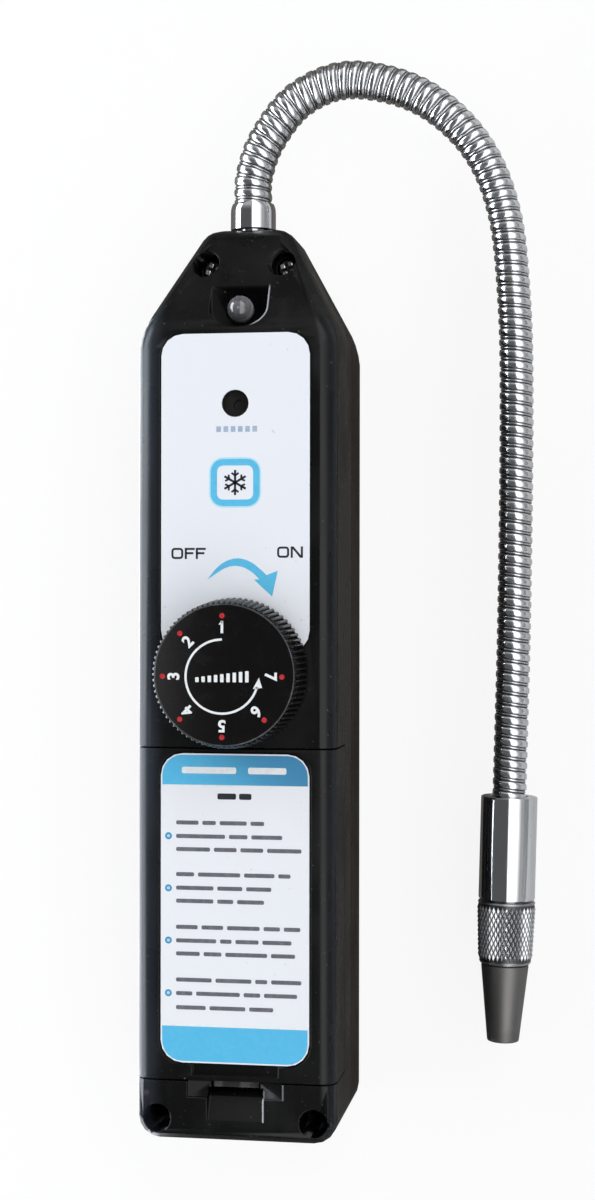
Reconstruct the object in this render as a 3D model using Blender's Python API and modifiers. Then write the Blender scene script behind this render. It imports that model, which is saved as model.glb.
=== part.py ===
# Refrigerant leak detector with a bent flexible neck, lying on the flat back of its case.
# Units are metres. +X runs across the case, +Y along it towards the neck, +Z out of its front.
# The origin is the middle of the flat back.

import math

import bmesh
import bpy
from mathutils import Matrix, Vector

# Clearance between pieces that touch on the real object
FIT_GAP = 0.0003

# Case: two moulded shells that meet at a seam behind the middle
CASE_LENGTH = 0.177
CASE_WIDTH = 0.0388
CASE_DEPTH = 0.038
CASE_WALL = 0.002
HEAD_LENGTH = 0.0219
HEAD_TOP_WIDTH = 0.0165
HEAD_TOP_DEPTH = 0.013
EDGE_RADIUS = 0.003
CORNER_RADIUS = 0.0045
SEAM_HEIGHT = 0.016

# Screws that hold the shells together, sunk in deep round wells
WELL_RADIUS = 0.00275
WELL_WALL = 0.0009
WELL_FLOOR = 0.020
HEAD_SCREW_SPREAD = 0.0075
HEAD_SCREW_FROM_TOP = 0.0077
FOOT_SCREW_SPREAD = 0.0152
FOOT_SCREW_FROM_BASE = 0.0044
SCREW_HEAD_RADIUS = 0.0023
SCREW_HEAD_HEIGHT = 0.0018
SCREW_SHANK_RADIUS = 0.0011
SCREW_SHANK_LENGTH = 0.008
POST_RADIUS = 0.0029

# Lamp in its pocket on the sloping head
LAMP_FROM_TOP = 0.017
LAMP_RADIUS = 0.0026
LAMP_FLANGE_RADIUS = 0.0031
LAMP_FLANGE_HEIGHT = 0.001
LAMP_LEG_RADIUS = 0.0003
LAMP_LEG_SPREAD = 0.00127
POCKET_WIDTH = 0.0112
POCKET_FLOOR = 0.0326
POCKET_LEDGE = 0.0009
POCKET_WALL = 0.0016

# Sound hole and the buzzer behind it
BUZZER_Y = 0.0528
SOUND_HOLE_RADIUS = 0.00262
BUZZER_RADIUS = 0.006
BUZZER_HEIGHT = 0.0095
BUZZER_PORT_RADIUS = 0.0012
BUZZER_PORT_DEPTH = 0.0015

# Labels, stuck in shallow sunk fields
LABEL_THICKNESS = 0.00025
LABEL_PROUD = 0.00005
LABEL_WIDTH = 0.0288
UPPER_LABEL_TOP = 0.0662
UPPER_LABEL_BOTTOM = 0.0053
LOWER_LABEL_TOP_EDGE = 0.0009
LOWER_LABEL_LENGTH = 0.0592
LABEL_CORNER = 0.0042

# Sensitivity knob with a ribbed rim, and the switched potentiometer that it turns
KNOB_Y = 0.0014
KNOB_RADIUS = 0.0144
KNOB_FACE_RADIUS = 0.0132
KNOB_HEIGHT = 0.0104
KNOB_RIM_HEIGHT = 0.0004
KNOB_RIBS = 80
KNOB_RIB_DEPTH = 0.0004
KNOB_SKIRT = 0.0016
KNOB_HUB_RADIUS = 0.0052
KNOB_FACE_THICKNESS = 0.0024
SHAFT_RADIUS = 0.003
SHAFT_IN_KNOB = 0.0078
SHAFT_IN_BODY = 0.005
POT_RADIUS = 0.0085
POT_HEIGHT = 0.009
BUSH_RADIUS = 0.0045
BUSH_HEIGHT = 0.0025

# Battery cover, its tongues, its latch tab and the finger scoop below it
COVER_TOP = -0.01315
COVER_LENGTH = 0.0634
COVER_DROP = 0.0132
TONGUE_WIDTH = 0.004
TONGUE_SPREAD = 0.0075
TONGUE_REACH = 0.0023
TONGUE_THICKNESS = 0.001
TONGUE_ROOT = 0.0026
GROOVE_WIDTH = 0.0168
GROOVE_LENGTH = 0.0023
GROOVE_DEPTH = 0.0011
GROOVE_FROM_EDGE = 0.0009
TAB_WIDTH = 0.009
TAB_REACH = 0.0015
TAB_THICKNESS = 0.0016
TAB_SINK = 0.0018
STEP_WIDTH = 0.0184
STEP_LENGTH = 0.003
STEP_DEPTH = 0.0012
SCOOP_WIDTH = 0.0107
SCOOP_LENGTH = 0.0059
SCOOP_DEPTH = 0.0038
LATCH_PAD_WIDTH = 0.021
LATCH_PAD_THICKNESS = 0.0055

# Battery bay with two AA cells side by side
BAY_FLOOR = 0.0195
BAY_FLOOR_THICKNESS = 0.0015
BAY_WALL = 0.0015
BAY_WALL_TOP = 0.0355
BAY_WIDTH = 0.0336
BAY_TOP_FROM_COVER = 0.00435
BAY_LENGTH = 0.0565
CELL_RADIUS = 0.0071
CELL_LENGTH = 0.0492
CELL_NUB_RADIUS = 0.0026
CELL_NUB_HEIGHT = 0.001
CELL_SPREAD = 0.0075
CONTACT_THICKNESS = 0.0004
CONTACT_WIDTH = 0.0106
CONTACT_HEIGHT = 0.0116
BRIDGE_WIDTH = 0.026
SPRING_BASE_RADIUS = 0.0042
SPRING_TIP_RADIUS = 0.0024
SPRING_WIRE_RADIUS = 0.0004
SPRING_TURNS = 3
NOTCH_WIDTH = 0.0034
NOTCH_BOTTOM = 0.0272

# Circuit board and what is soldered to it
BOARD_TOP = 0.0236
BOARD_THICKNESS = 0.0016
BOARD_WIDTH = 0.0334
BOARD_LOW_END = -0.0155
BOARD_HIGH_END = 0.0755
BOARD_SHOULDER = 0.060
BOARD_NOSE_WIDTH = 0.018
BOARD_POST_RADIUS = 0.0023
BOARD_POST_PLACES = ((-0.0132, 0.031), (0.0132, -0.0105))
BOARD_SCREW_RADIUS = 0.0008
BOARD_SCREW_LENGTH = 0.006
BOARD_SCREW_HEAD_RADIUS = 0.0016
BOARD_SCREW_HEAD_HEIGHT = 0.0012
TRANSFORMER_SIZE = (0.012, 0.0135, 0.0095)
TRANSFORMER_PLACE = (-0.0075, 0.0200)
CHIP_SIZE = (0.0064, 0.0105, 0.0022)
CHIP_PLACE = (0.009, 0.0235)
CAPACITOR_SIZES = ((0.0032, 0.0095), (0.0025, 0.0075))
CAPACITOR_PLACES = ((0.0085, 0.038), (-0.0085, 0.0405))

# Leads inside the case
LEAD_RADIUS = 0.0006
LEAD_SPREAD = 0.0009
LEAD_HEIGHT = 0.0290
SENSOR_LEAD_RADIUS = 0.001

# Neck fitting on the top of the case
FERRULE_RADIUS = 0.0045
FERRULE_TIP_RADIUS = 0.0041
FERRULE_HEIGHT = 0.0058
NECK_SOCKET_DEPTH = 0.0025
STEM_RADIUS = 0.0028
STEM_BORE = 0.0016
STEM_LENGTH = 0.0058
LOCKNUT_RADIUS = 0.0041
LOCKNUT_THICKNESS = 0.0025

# Flexible neck: the route of its middle line, from the top of the fitting, in the plane of the
# middle of the case's depth
NECK_ROUTE = (
    (0.0, 0.0), (0.0002, 0.0057), (0.0030, 0.0131), (0.0096, 0.0208), (0.0199, 0.0241),
    (0.0335, 0.0203), (0.0441, 0.0107), (0.0498, -0.0024), (0.0519, -0.0202), (0.0524, -0.0416),
    (0.0520, -0.0811), (0.0511, -0.1173),
)
NECK_BEND_RADIUS = 0.0038
NECK_RADIUS = 0.00335
NECK_THICK_UNTIL = 0.032
NECK_THIN_FROM = 0.075
NECK_RIBS = 92
NECK_GROOVE_DEPTH = 0.00055
NECK_GROOVE_WIDTH = 0.00066
NECK_BORE = 0.00245
NECK_SIDES = 10
NECK_SECTIONS = 6
NECK_SLOT = 0.00066
SPIGOT_RADIUS = 0.00195
SPIGOT_BORE = 0.0015
SPIGOT_REACH = 0.0013
NECK_END_LENGTH = 0.0030

# Probe on the end of the neck
SLEEVE_RADIUS = 0.0055
SLEEVE_LENGTH = 0.0201
SLEEVE_BORE = 0.0015
NOSE_RADIUS = 0.0040
NOSE_LENGTH = 0.0048
NOSE_BORE = 0.0032
NOSE_BORE_DEPTH = 0.011
COLLAR_RADIUS = 0.00575
COLLAR_TIP_RADIUS = 0.0053
COLLAR_LENGTH = 0.0122
COLLAR_FLUTES = 36
COLLAR_FLUTE_DEPTH = 0.00025
TIP_RADIUS = 0.00465
TIP_END_RADIUS = 0.0031
TIP_LENGTH = 0.0151
TIP_BORE = 0.0029
TIP_HOLE = 0.0012
TIP_END_WALL = 0.004
TIP_SPIGOT_LENGTH = 0.006
SENSOR_RADIUS = 0.0022
SENSOR_LENGTH = 0.0155
SENSOR_BASE_HEIGHT = 0.002

# Sides of round pieces, and smoothness of the case's edges
ROUND_SIDES = 20
FINE_SIDES = 28
EDGE_STEPS = 3
CORNER_STEPS = 4
SHARP_ANGLE = math.radians(35)

# Places worked out from the sizes above
CASE_TOP = CASE_LENGTH / 2
CASE_BASE = -CASE_LENGTH / 2
FOLD_Y = CASE_TOP - HEAD_LENGTH
MID_DEPTH = CASE_DEPTH / 2
HEAD_DROP = (CASE_DEPTH - HEAD_TOP_DEPTH) / 2
INNER_FRONT = CASE_DEPTH - CASE_WALL
COVER_BOTTOM = COVER_TOP - COVER_LENGTH
COVER_EDGE = CASE_DEPTH - COVER_DROP
WINDOW_TOP = COVER_TOP + FIT_GAP
WINDOW_BOTTOM = COVER_BOTTOM - FIT_GAP
BAY_TOP = COVER_TOP - BAY_TOP_FROM_COVER - BAY_WALL
BAY_BOTTOM = BAY_TOP - BAY_LENGTH
CELL_HEIGHT = BAY_FLOOR + FIT_GAP + CELL_RADIUS
LAMP_Y = CASE_TOP - LAMP_FROM_TOP
CASE_SCREW_PLACES = (
    (-HEAD_SCREW_SPREAD, CASE_TOP - HEAD_SCREW_FROM_TOP),
    (HEAD_SCREW_SPREAD, CASE_TOP - HEAD_SCREW_FROM_TOP),
    (-FOOT_SCREW_SPREAD, CASE_BASE + FOOT_SCREW_FROM_BASE),
    (FOOT_SCREW_SPREAD, CASE_BASE + FOOT_SCREW_FROM_BASE),
)
KNOB_BASE = CASE_DEPTH + LABEL_PROUD + FIT_GAP
LABEL_FIELD = LABEL_THICKNESS - LABEL_PROUD + FIT_GAP


def clear_scene():
    for item in list(bpy.data.objects):
        bpy.data.objects.remove(item, do_unlink=True)


def new_collection(name):
    collection = bpy.data.collections.new(name)
    bpy.context.scene.collection.children.link(collection)
    return collection


def finish(name, colour, roughness, metallic):
    material = bpy.data.materials.new(name)
    material.use_nodes = True
    shader = material.node_tree.nodes["Principled BSDF"]
    shader.inputs["Base Color"].default_value = (*colour, 1)
    shader.inputs["Roughness"].default_value = roughness
    shader.inputs["Metallic"].default_value = metallic
    return material


def add_part(name, mesh, colour, roughness, metallic=0.0):
    item = bpy.data.objects.new(name, mesh)
    parts.objects.link(item)
    mesh.materials.clear()
    mesh.materials.append(finish(name, colour, roughness, metallic))
    return item


def add_tool(name, mesh):
    tool = bpy.data.objects.new(name, mesh)
    tools.objects.link(tool)
    tool.hide_render = True
    tool.display_type = "WIRE"
    return tool


def combine(target, name, operation, operands):
    # All the tools act at once, because one exact Boolean keeps long faces whole.
    group = bpy.data.collections.new(name)
    tools.children.link(group)
    for operand in operands:
        group.objects.link(operand)
    modifier = target.modifiers.new(name, "BOOLEAN")
    modifier.operation = operation
    modifier.solver = "EXACT"
    modifier.operand_type = "COLLECTION"
    modifier.collection = group


def cut(target, *operands):
    combine(target, f"{target.name}_cuts", "DIFFERENCE", operands)


def join(target, *operands):
    combine(target, f"{target.name}_joins", "UNION", operands)


def to_mesh(bm, name):
    # Places are rounded to a micrometre, which keeps long narrow faces exactly flat.
    for vertex in bm.verts:
        vertex.co = [round(value, 6) for value in vertex.co]
    bmesh.ops.recalc_face_normals(bm, faces=bm.faces)
    mesh = bpy.data.meshes.new(name)
    bm.to_mesh(mesh)
    bm.free()
    return mesh


def box(name, low, high):
    bm = bmesh.new()
    bmesh.ops.create_cube(bm, size=1)
    low, high = Vector(low), Vector(high)
    bmesh.ops.scale(bm, vec=high - low, verts=bm.verts)
    bmesh.ops.translate(bm, vec=(low + high) / 2, verts=bm.verts)
    return to_mesh(bm, name)


def rounded_plate(name, size, corner, low, high, middle_y):
    bm = bmesh.new()
    bmesh.ops.create_cube(bm, size=1)
    bmesh.ops.scale(bm, vec=(size[0], size[1], high - low), verts=bm.verts)
    bmesh.ops.translate(bm, vec=(0, middle_y, (low + high) / 2), verts=bm.verts)
    upright = [edge for edge in bm.edges if along(edge, 2)]
    bmesh.ops.bevel(bm, geom=upright, offset=corner, segments=CORNER_STEPS, profile=0.5,
                    affect="EDGES")
    return to_mesh(bm, name)


def cylinder(name, radius, low, high, place=(0, 0), sides=ROUND_SIDES):
    bm = bmesh.new()
    bmesh.ops.create_cone(bm, cap_ends=True, segments=sides, radius1=radius, radius2=radius,
                          depth=high - low)
    bmesh.ops.translate(bm, vec=(place[0], place[1], (low + high) / 2), verts=bm.verts)
    return to_mesh(bm, name)


def tool_box(name, low, high):
    return add_tool(name, box(name, low, high))


def tool_cylinder(name, radius, low, high, place=(0, 0), sides=ROUND_SIDES):
    return add_tool(name, cylinder(name, radius, low, high, place, sides))


def along(edge, axis):
    span = edge.verts[1].co - edge.verts[0].co
    return abs(span[axis]) > 0.99 * span.length


def settled_mesh(item):
    bpy.context.view_layer.update()
    depsgraph = bpy.context.evaluated_depsgraph_get()
    mesh = bpy.data.meshes.new_from_object(item.evaluated_get(depsgraph))
    bpy.data.objects.remove(item, do_unlink=True)
    return mesh


def turned(name, profile, closed=False, sides=ROUND_SIDES):
    # The profile lists (radius, height) pairs, down the outer side from top to bottom.
    mesh = bpy.data.meshes.new(name + "_profile")
    count = len(profile)
    edges = [(index, index + 1) for index in range(count - 1)]
    if closed:
        edges.append((count - 1, 0))
    mesh.from_pydata([(radius, 0, height) for radius, height in profile], edges, [])
    item = bpy.data.objects.new(name + "_turning", mesh)
    tools.objects.link(item)
    screw = item.modifiers.new("turn", "SCREW")
    screw.steps = sides
    screw.render_steps = sides
    screw.use_merge_vertices = True
    screw.merge_threshold = 0.00001
    solid = settled_mesh(item)
    solid.name = name
    solid.shade_smooth()
    solid.set_sharp_from_angle(angle=SHARP_ANGLE)
    return solid


def wire(name, points, radius, smoothness=2):
    # A round wire through the given points, with closed ends.
    curve = bpy.data.curves.new(name, "CURVE")
    curve.dimensions = "3D"
    curve.bevel_depth = radius
    curve.bevel_resolution = smoothness
    curve.use_fill_caps = True
    spline = curve.splines.new("POLY")
    spline.points.add(len(points) - 1)
    for point, place in zip(spline.points, points):
        point.co = (*place, 1)
    item = bpy.data.objects.new(name + "_curve", curve)
    tools.objects.link(item)
    mesh = settled_mesh(item)
    bm = bmesh.new()
    bm.from_mesh(mesh)
    bmesh.ops.remove_doubles(bm, verts=bm.verts, dist=0.000001)
    return to_mesh(bm, name)


def smooth_route(points, step):
    # A smooth curve through a few points, given back as points one step apart along it.
    fine = []
    padded = [2 * points[0] - points[1]] + list(points) + [2 * points[-1] - points[-2]]
    for before, start, end, after in zip(padded, padded[1:], padded[2:], padded[3:]):
        for part in range(40):
            t = part / 40
            fine.append(0.5 * (2 * start + (end - before) * t
                               + (2 * before - 5 * start + 4 * end - after) * t ** 2
                               + (3 * start - before - 3 * end + after) * t ** 3))
    fine.append(points[-1].copy())
    total = sum((b - a).length for a, b in zip(fine, fine[1:]))
    count = max(2, round(total / step))
    return [at_distance(fine, total * index / count) for index in range(count + 1)]


def at_distance(route, distance):
    # The point at a distance along a chain of points, carried on straight past its ends.
    for start, end in zip(route, route[1:]):
        length = (end - start).length
        if distance <= length:
            return start + (end - start) * (distance / length)
        distance -= length
    return route[-1] + (route[-1] - route[-2]).normalized() * distance


def case_block(name, inset, radius, corner, steps, low=None, high=None):
    # The whole outline of the case, moved inwards by an inset, and cut at a height if one is given.
    half_width = CASE_WIDTH / 2
    half_length = CASE_LENGTH / 2 - inset
    bm = bmesh.new()
    bmesh.ops.create_cube(bm, size=1)
    size = (CASE_WIDTH - 2 * inset, CASE_LENGTH - 2 * inset, CASE_DEPTH - 2 * inset)
    bmesh.ops.scale(bm, vec=size, verts=bm.verts)
    bmesh.ops.translate(bm, vec=(0, 0, MID_DEPTH), verts=bm.verts)
    in_from_side = half_width - HEAD_TOP_WIDTH / 2
    slopes = (
        (Vector((half_width, FOLD_Y, 0)), Vector((HEAD_LENGTH, in_from_side, 0))),
        (Vector((-half_width, FOLD_Y, 0)), Vector((-HEAD_LENGTH, in_from_side, 0))),
        (Vector((0, FOLD_Y, CASE_DEPTH)), Vector((0, HEAD_DROP, HEAD_LENGTH))),
        (Vector((0, FOLD_Y, 0)), Vector((0, HEAD_DROP, -HEAD_LENGTH))),
    )
    for place, outwards in slopes:
        slice_off(bm, place - outwards.normalized() * inset, outwards)
    foot = [edge for edge in bm.edges
            if along(edge, 2) and edge.verts[0].co.y < -half_length + 0.0001]
    bmesh.ops.bevel(bm, geom=foot, offset=corner, segments=CORNER_STEPS, profile=0.5,
                    affect="EDGES")
    fold = math.radians(25)
    creases = [edge for edge in bm.edges if edge.calc_face_angle(0) > fold]
    bmesh.ops.bevel(bm, geom=creases, offset=radius, segments=steps, profile=0.5,
                    affect="EDGES", clamp_overlap=True)
    if low is not None:
        slice_off(bm, Vector((0, 0, low)), Vector((0, 0, -1)))
    if high is not None:
        slice_off(bm, Vector((0, 0, high)), Vector((0, 0, 1)))
    mesh = to_mesh(bm, name)
    mesh.shade_smooth()
    mesh.set_sharp_from_angle(angle=SHARP_ANGLE)
    return mesh


def slice_off(bm, place, outwards):
    # Cuts away what lies outwards of a plane and closes the cut.
    geometry = bm.verts[:] + bm.edges[:] + bm.faces[:]
    bmesh.ops.bisect_plane(bm, geom=geometry, dist=0.000001, plane_co=place, plane_no=outwards,
                           clear_outer=True)
    bmesh.ops.holes_fill(bm, edges=[edge for edge in bm.edges if edge.is_boundary])
    bmesh.ops.recalc_face_normals(bm, faces=bm.faces)


def inner_block(name):
    return add_tool(name, case_block(name, CASE_WALL, EDGE_RADIUS - CASE_WALL,
                                     CORNER_RADIUS - CASE_WALL, 2))


def make_front_shell():
    block = case_block("front_shell", 0, EDGE_RADIUS, CORNER_RADIUS, EDGE_STEPS,
                       low=SEAM_HEIGHT + FIT_GAP / 2)
    shell = add_part("front_shell", block, (0.012, 0.012, 0.014), 0.38)
    walls = bay_walls()
    hollow = inner_block("front_hollow")
    cut(hollow, *walls, *bosses(), lamp_housing(), latch_pad(), bay_floor())
    window = tool_box("cover_window", (-CASE_WIDTH, WINDOW_BOTTOM, COVER_EDGE - FIT_GAP),
                      (CASE_WIDTH, WINDOW_TOP, 2 * CASE_DEPTH))
    cut(window, *walls)
    above, below = CASE_DEPTH + CASE_WALL, INNER_FRONT - CASE_WALL
    cut(shell, hollow, window, *screw_wells(), *lamp_pocket(), *latch_cuts(), neck_hole(),
        label_field("upper_label_field", UPPER_LABEL_BOTTOM, UPPER_LABEL_TOP),
        tool_cylinder("sound_hole", SOUND_HOLE_RADIUS, below, above, (0, BUZZER_Y)),
        tool_cylinder("shaft_hole", SHAFT_RADIUS + FIT_GAP, below, above, (0, KNOB_Y)))


def bosses():
    made = []
    for number, place in enumerate(CASE_SCREW_PLACES, 1):
        made.append(tool_cylinder(f"front_boss_{number}", WELL_RADIUS + WELL_WALL,
                                  SEAM_HEIGHT + FIT_GAP / 2, CASE_DEPTH + CASE_WALL, place))
    for number, place in enumerate(BOARD_POST_PLACES, 1):
        made.append(tool_cylinder(f"board_post_{number}", BOARD_POST_RADIUS, BOARD_TOP + FIT_GAP,
                                  CASE_DEPTH + CASE_WALL, place, 16))
    return made


def lamp_housing():
    half = POCKET_WIDTH / 2 + POCKET_WALL
    return tool_box("lamp_housing", (-half, FOLD_Y - CASE_WALL, POCKET_FLOOR - CASE_WALL),
                    (half, CASE_TOP - HEAD_SCREW_FROM_TOP, CASE_DEPTH + CASE_WALL))


def latch_pad():
    half = LATCH_PAD_WIDTH / 2
    return tool_box("latch_pad", (-half, CASE_BASE - CASE_WALL, CASE_DEPTH - LATCH_PAD_THICKNESS),
                    (half, WINDOW_BOTTOM + CASE_WALL, CASE_DEPTH + CASE_WALL))


def bay_floor():
    half = CASE_WIDTH / 2 - CASE_WALL / 2
    return tool_box("bay_floor", (-half, BAY_BOTTOM - BAY_WALL, BAY_FLOOR - BAY_FLOOR_THICKNESS),
                    (half, BAY_TOP + BAY_WALL, BAY_FLOOR))


def bay_walls():
    half = BAY_WIDTH / 2
    root = BAY_FLOOR - BAY_FLOOR_THICKNESS / 2
    upper = tool_box("bay_upper_wall", (-half, BAY_TOP, root),
                     (half, BAY_TOP + BAY_WALL, BAY_WALL_TOP))
    cut(upper, tool_box("lead_notch", (-NOTCH_WIDTH / 2, BAY_TOP - BAY_WALL, NOTCH_BOTTOM),
                        (NOTCH_WIDTH / 2, BAY_TOP + 2 * BAY_WALL, CASE_DEPTH)))
    lower = tool_box("bay_lower_wall", (-half, BAY_BOTTOM - BAY_WALL, root),
                     (half, BAY_BOTTOM, BAY_WALL_TOP))
    return upper, lower


def screw_wells():
    made = []
    for number, place in enumerate(CASE_SCREW_PLACES, 1):
        made.append(tool_cylinder(f"screw_well_{number}", WELL_RADIUS, WELL_FLOOR,
                                  CASE_DEPTH + CASE_WALL, place))
        made.append(tool_cylinder(f"screw_hole_{number}", SCREW_SHANK_RADIUS + FIT_GAP,
                                  SEAM_HEIGHT - CASE_WALL, WELL_FLOOR + CASE_WALL, place, 12))
    for number, place in enumerate(BOARD_POST_PLACES, 1):
        end = BOARD_TOP + BOARD_SCREW_LENGTH - BOARD_THICKNESS + FIT_GAP
        made.append(tool_cylinder(f"board_pilot_{number}", BOARD_SCREW_RADIUS + FIT_GAP,
                                  BOARD_TOP - CASE_WALL, end, place, 12))
    return made


def lamp_pocket():
    # Round at the fold, and open where its flat floor meets the slope of the head.
    half = POCKET_WIDTH / 2
    above = CASE_DEPTH + CASE_WALL
    straight = tool_box("lamp_pocket", (-half, LAMP_Y, POCKET_FLOOR), (half, CASE_TOP, above))
    bowl = tool_cylinder("lamp_pocket_end", half, POCKET_FLOOR, above, sides=FINE_SIDES)
    reach = LAMP_Y - FOLD_Y - POCKET_LEDGE
    bowl.data.transform(Matrix.Diagonal((1, reach / half, 1, 1)))
    bowl.location = (0, LAMP_Y, 0)
    hole = tool_cylinder("lamp_hole", LAMP_RADIUS + FIT_GAP, POCKET_FLOOR - 2 * CASE_WALL, above,
                         (0, LAMP_Y))
    return straight, bowl, hole


def latch_cuts():
    above = CASE_DEPTH + CASE_WALL
    step = tool_box("latch_step",
                    (-STEP_WIDTH / 2, WINDOW_BOTTOM - STEP_LENGTH, CASE_DEPTH - STEP_DEPTH),
                    (STEP_WIDTH / 2, WINDOW_BOTTOM + CASE_WALL, above))
    tab_floor = CASE_DEPTH - TAB_SINK - TAB_THICKNESS - FIT_GAP
    tab_end = COVER_BOTTOM - TAB_REACH - FIT_GAP
    slot = tool_box("tab_slot", (-TAB_WIDTH / 2 - FIT_GAP, tab_end, tab_floor),
                    (TAB_WIDTH / 2 + FIT_GAP, WINDOW_BOTTOM + CASE_WALL, above))
    scoop = tool_box("finger_scoop",
                     (-SCOOP_WIDTH / 2, tab_end - SCOOP_LENGTH, CASE_DEPTH - SCOOP_DEPTH),
                     (SCOOP_WIDTH / 2, tab_end + FIT_GAP, above))
    for vertex in scoop.data.vertices:
        if vertex.co.y < tab_end - SCOOP_LENGTH / 2 and vertex.co.z < CASE_DEPTH:
            vertex.co.z = CASE_DEPTH - SCOOP_DEPTH / 8
    return step, slot, scoop


def label_field(name, low_y, high_y):
    size = (LABEL_WIDTH + 2 * FIT_GAP, high_y - low_y + 2 * FIT_GAP)
    return add_tool(name, rounded_plate(name, size, LABEL_CORNER, CASE_DEPTH - LABEL_FIELD,
                                        CASE_DEPTH + CASE_WALL, (low_y + high_y) / 2))


def neck_hole():
    hole = tool_cylinder("neck_hole", STEM_RADIUS + FIT_GAP, -2 * CASE_WALL, 2 * CASE_WALL)
    hole.location = (0, CASE_TOP, MID_DEPTH)
    hole.rotation_euler = (math.pi / 2, 0, 0)
    return hole


def make_rear_shell():
    top = SEAM_HEIGHT - FIT_GAP / 2
    block = case_block("rear_shell", 0, EDGE_RADIUS, CORNER_RADIUS, EDGE_STEPS, high=top)
    shell = add_part("rear_shell", block, (0.014, 0.013, 0.013), 0.40)
    posts, pilots = [], []
    for number, place in enumerate(CASE_SCREW_PLACES, 1):
        posts.append(tool_cylinder(f"rear_post_{number}", POST_RADIUS, -CASE_WALL, top, place))
        pilots.append(tool_cylinder(f"rear_pilot_{number}", SCREW_SHANK_RADIUS + FIT_GAP,
                                    WELL_FLOOR - SCREW_SHANK_LENGTH, SEAM_HEIGHT + CASE_WALL,
                                    place, 12))
    hollow = inner_block("rear_hollow")
    cut(hollow, *posts)
    cut(shell, hollow, neck_hole(), *pilots)


def make_battery_cover():
    bm = bmesh.new()
    bm.from_mesh(case_block("cover_blank", 0, EDGE_RADIUS, CORNER_RADIUS, EDGE_STEPS,
                            low=COVER_EDGE))
    slice_off(bm, Vector((0, COVER_TOP, 0)), Vector((0, 1, 0)))
    slice_off(bm, Vector((0, COVER_BOTTOM, 0)), Vector((0, -1, 0)))
    mesh = to_mesh(bm, "battery_cover")
    mesh.shade_smooth()
    mesh.set_sharp_from_angle(angle=SHARP_ANGLE)
    cover = add_part("battery_cover", mesh, (0.012, 0.012, 0.014), 0.38)

    # The hollow stops short of the tongues and the latch tab, which stay one with the cover.
    hollow = inner_block("cover_hollow")
    low = INNER_FRONT - FIT_GAP - TONGUE_THICKNESS
    added = []
    for side in (-1, 1):
        left, right = (side * TONGUE_SPREAD - TONGUE_WIDTH / 2, side * TONGUE_SPREAD + TONGUE_WIDTH / 2)
        cut_back = COVER_TOP - TONGUE_ROOT
        added.append(tool_box(f"tongue_root_{side}", (left, cut_back, low),
                              (right, COVER_TOP - FIT_GAP, INNER_FRONT + CASE_WALL / 4)))
        added.append(tool_box(f"tongue_{side}", (left, cut_back, low),
                              (right, COVER_TOP + TONGUE_REACH, low + TONGUE_THICKNESS)))
    tab_top = CASE_DEPTH - TAB_SINK
    added.append(tool_box("latch_tab",
                          (-TAB_WIDTH / 2, COVER_BOTTOM - TAB_REACH, tab_top - TAB_THICKNESS),
                          (TAB_WIDTH / 2, COVER_BOTTOM + CASE_WALL, tab_top)))
    groove_low = COVER_BOTTOM + GROOVE_FROM_EDGE
    groove = tool_box("grip_groove", (-GROOVE_WIDTH / 2, groove_low, CASE_DEPTH - GROOVE_DEPTH),
                      (GROOVE_WIDTH / 2, groove_low + GROOVE_LENGTH, CASE_DEPTH + CASE_WALL))
    label_top = COVER_TOP - LOWER_LABEL_TOP_EDGE
    field = label_field("lower_label_field", label_top - LOWER_LABEL_LENGTH, label_top)
    cut(cover, hollow, groove, field)
    join(cover, *added)
    return cover


def make_labels():
    low = CASE_DEPTH + LABEL_PROUD - LABEL_THICKNESS
    high = CASE_DEPTH + LABEL_PROUD
    upper = add_part("upper_label", rounded_plate(
        "upper_label", (LABEL_WIDTH, UPPER_LABEL_TOP - UPPER_LABEL_BOTTOM), LABEL_CORNER, low, high,
        (UPPER_LABEL_TOP + UPPER_LABEL_BOTTOM) / 2), (0.80, 0.80, 0.86), 0.30)
    cut(upper, tool_cylinder("label_sound_hole", SOUND_HOLE_RADIUS, INNER_FRONT,
                             CASE_DEPTH + CASE_WALL, (0, BUZZER_Y)))
    label_top = COVER_TOP - LOWER_LABEL_TOP_EDGE
    lower = add_part("lower_label", rounded_plate(
        "lower_label", (LABEL_WIDTH, LOWER_LABEL_LENGTH), LABEL_CORNER, low, high,
        label_top - LOWER_LABEL_LENGTH / 2), (0.80, 0.82, 0.88), 0.30)
    return upper, lower


def make_case_screws():
    under = WELL_FLOOR + FIT_GAP
    for number, (x, y) in enumerate(CASE_SCREW_PLACES, 1):
        screw = add_part(f"case_screw_{number}", screw_mesh(
            f"case_screw_{number}", SCREW_HEAD_RADIUS, SCREW_HEAD_HEIGHT, SCREW_SHANK_RADIUS,
            SCREW_SHANK_LENGTH - FIT_GAP), (0.35, 0.35, 0.36), 0.35, 1.0)
        screw.location = (x, y, under)
        cut_cross(screw, SCREW_HEAD_RADIUS, SCREW_HEAD_HEIGHT, (x, y, under + SCREW_HEAD_HEIGHT))


def screw_mesh(name, head_radius, head_height, shank_radius, shank_length):
    shoulder = head_height / 2
    return turned(name, [(0, head_height), (head_radius * 0.7, head_height), (head_radius, shoulder),
                         (head_radius, 0), (shank_radius, 0), (shank_radius, -shank_length),
                         (0, -shank_length)], sides=16)


def cut_cross(screw, head_radius, head_height, place):
    long, narrow, depth = head_radius * 0.6, head_radius * 0.14, head_height * 0.6
    slots = []
    for number, (half_x, half_y) in enumerate(((long, narrow), (narrow, long))):
        slot = tool_box(f"{screw.name}_slot_{number}", (-half_x, -half_y, -depth),
                        (half_x, half_y, head_height))
        slot.location = place
        slots.append(slot)
    cut(screw, *slots)


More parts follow.
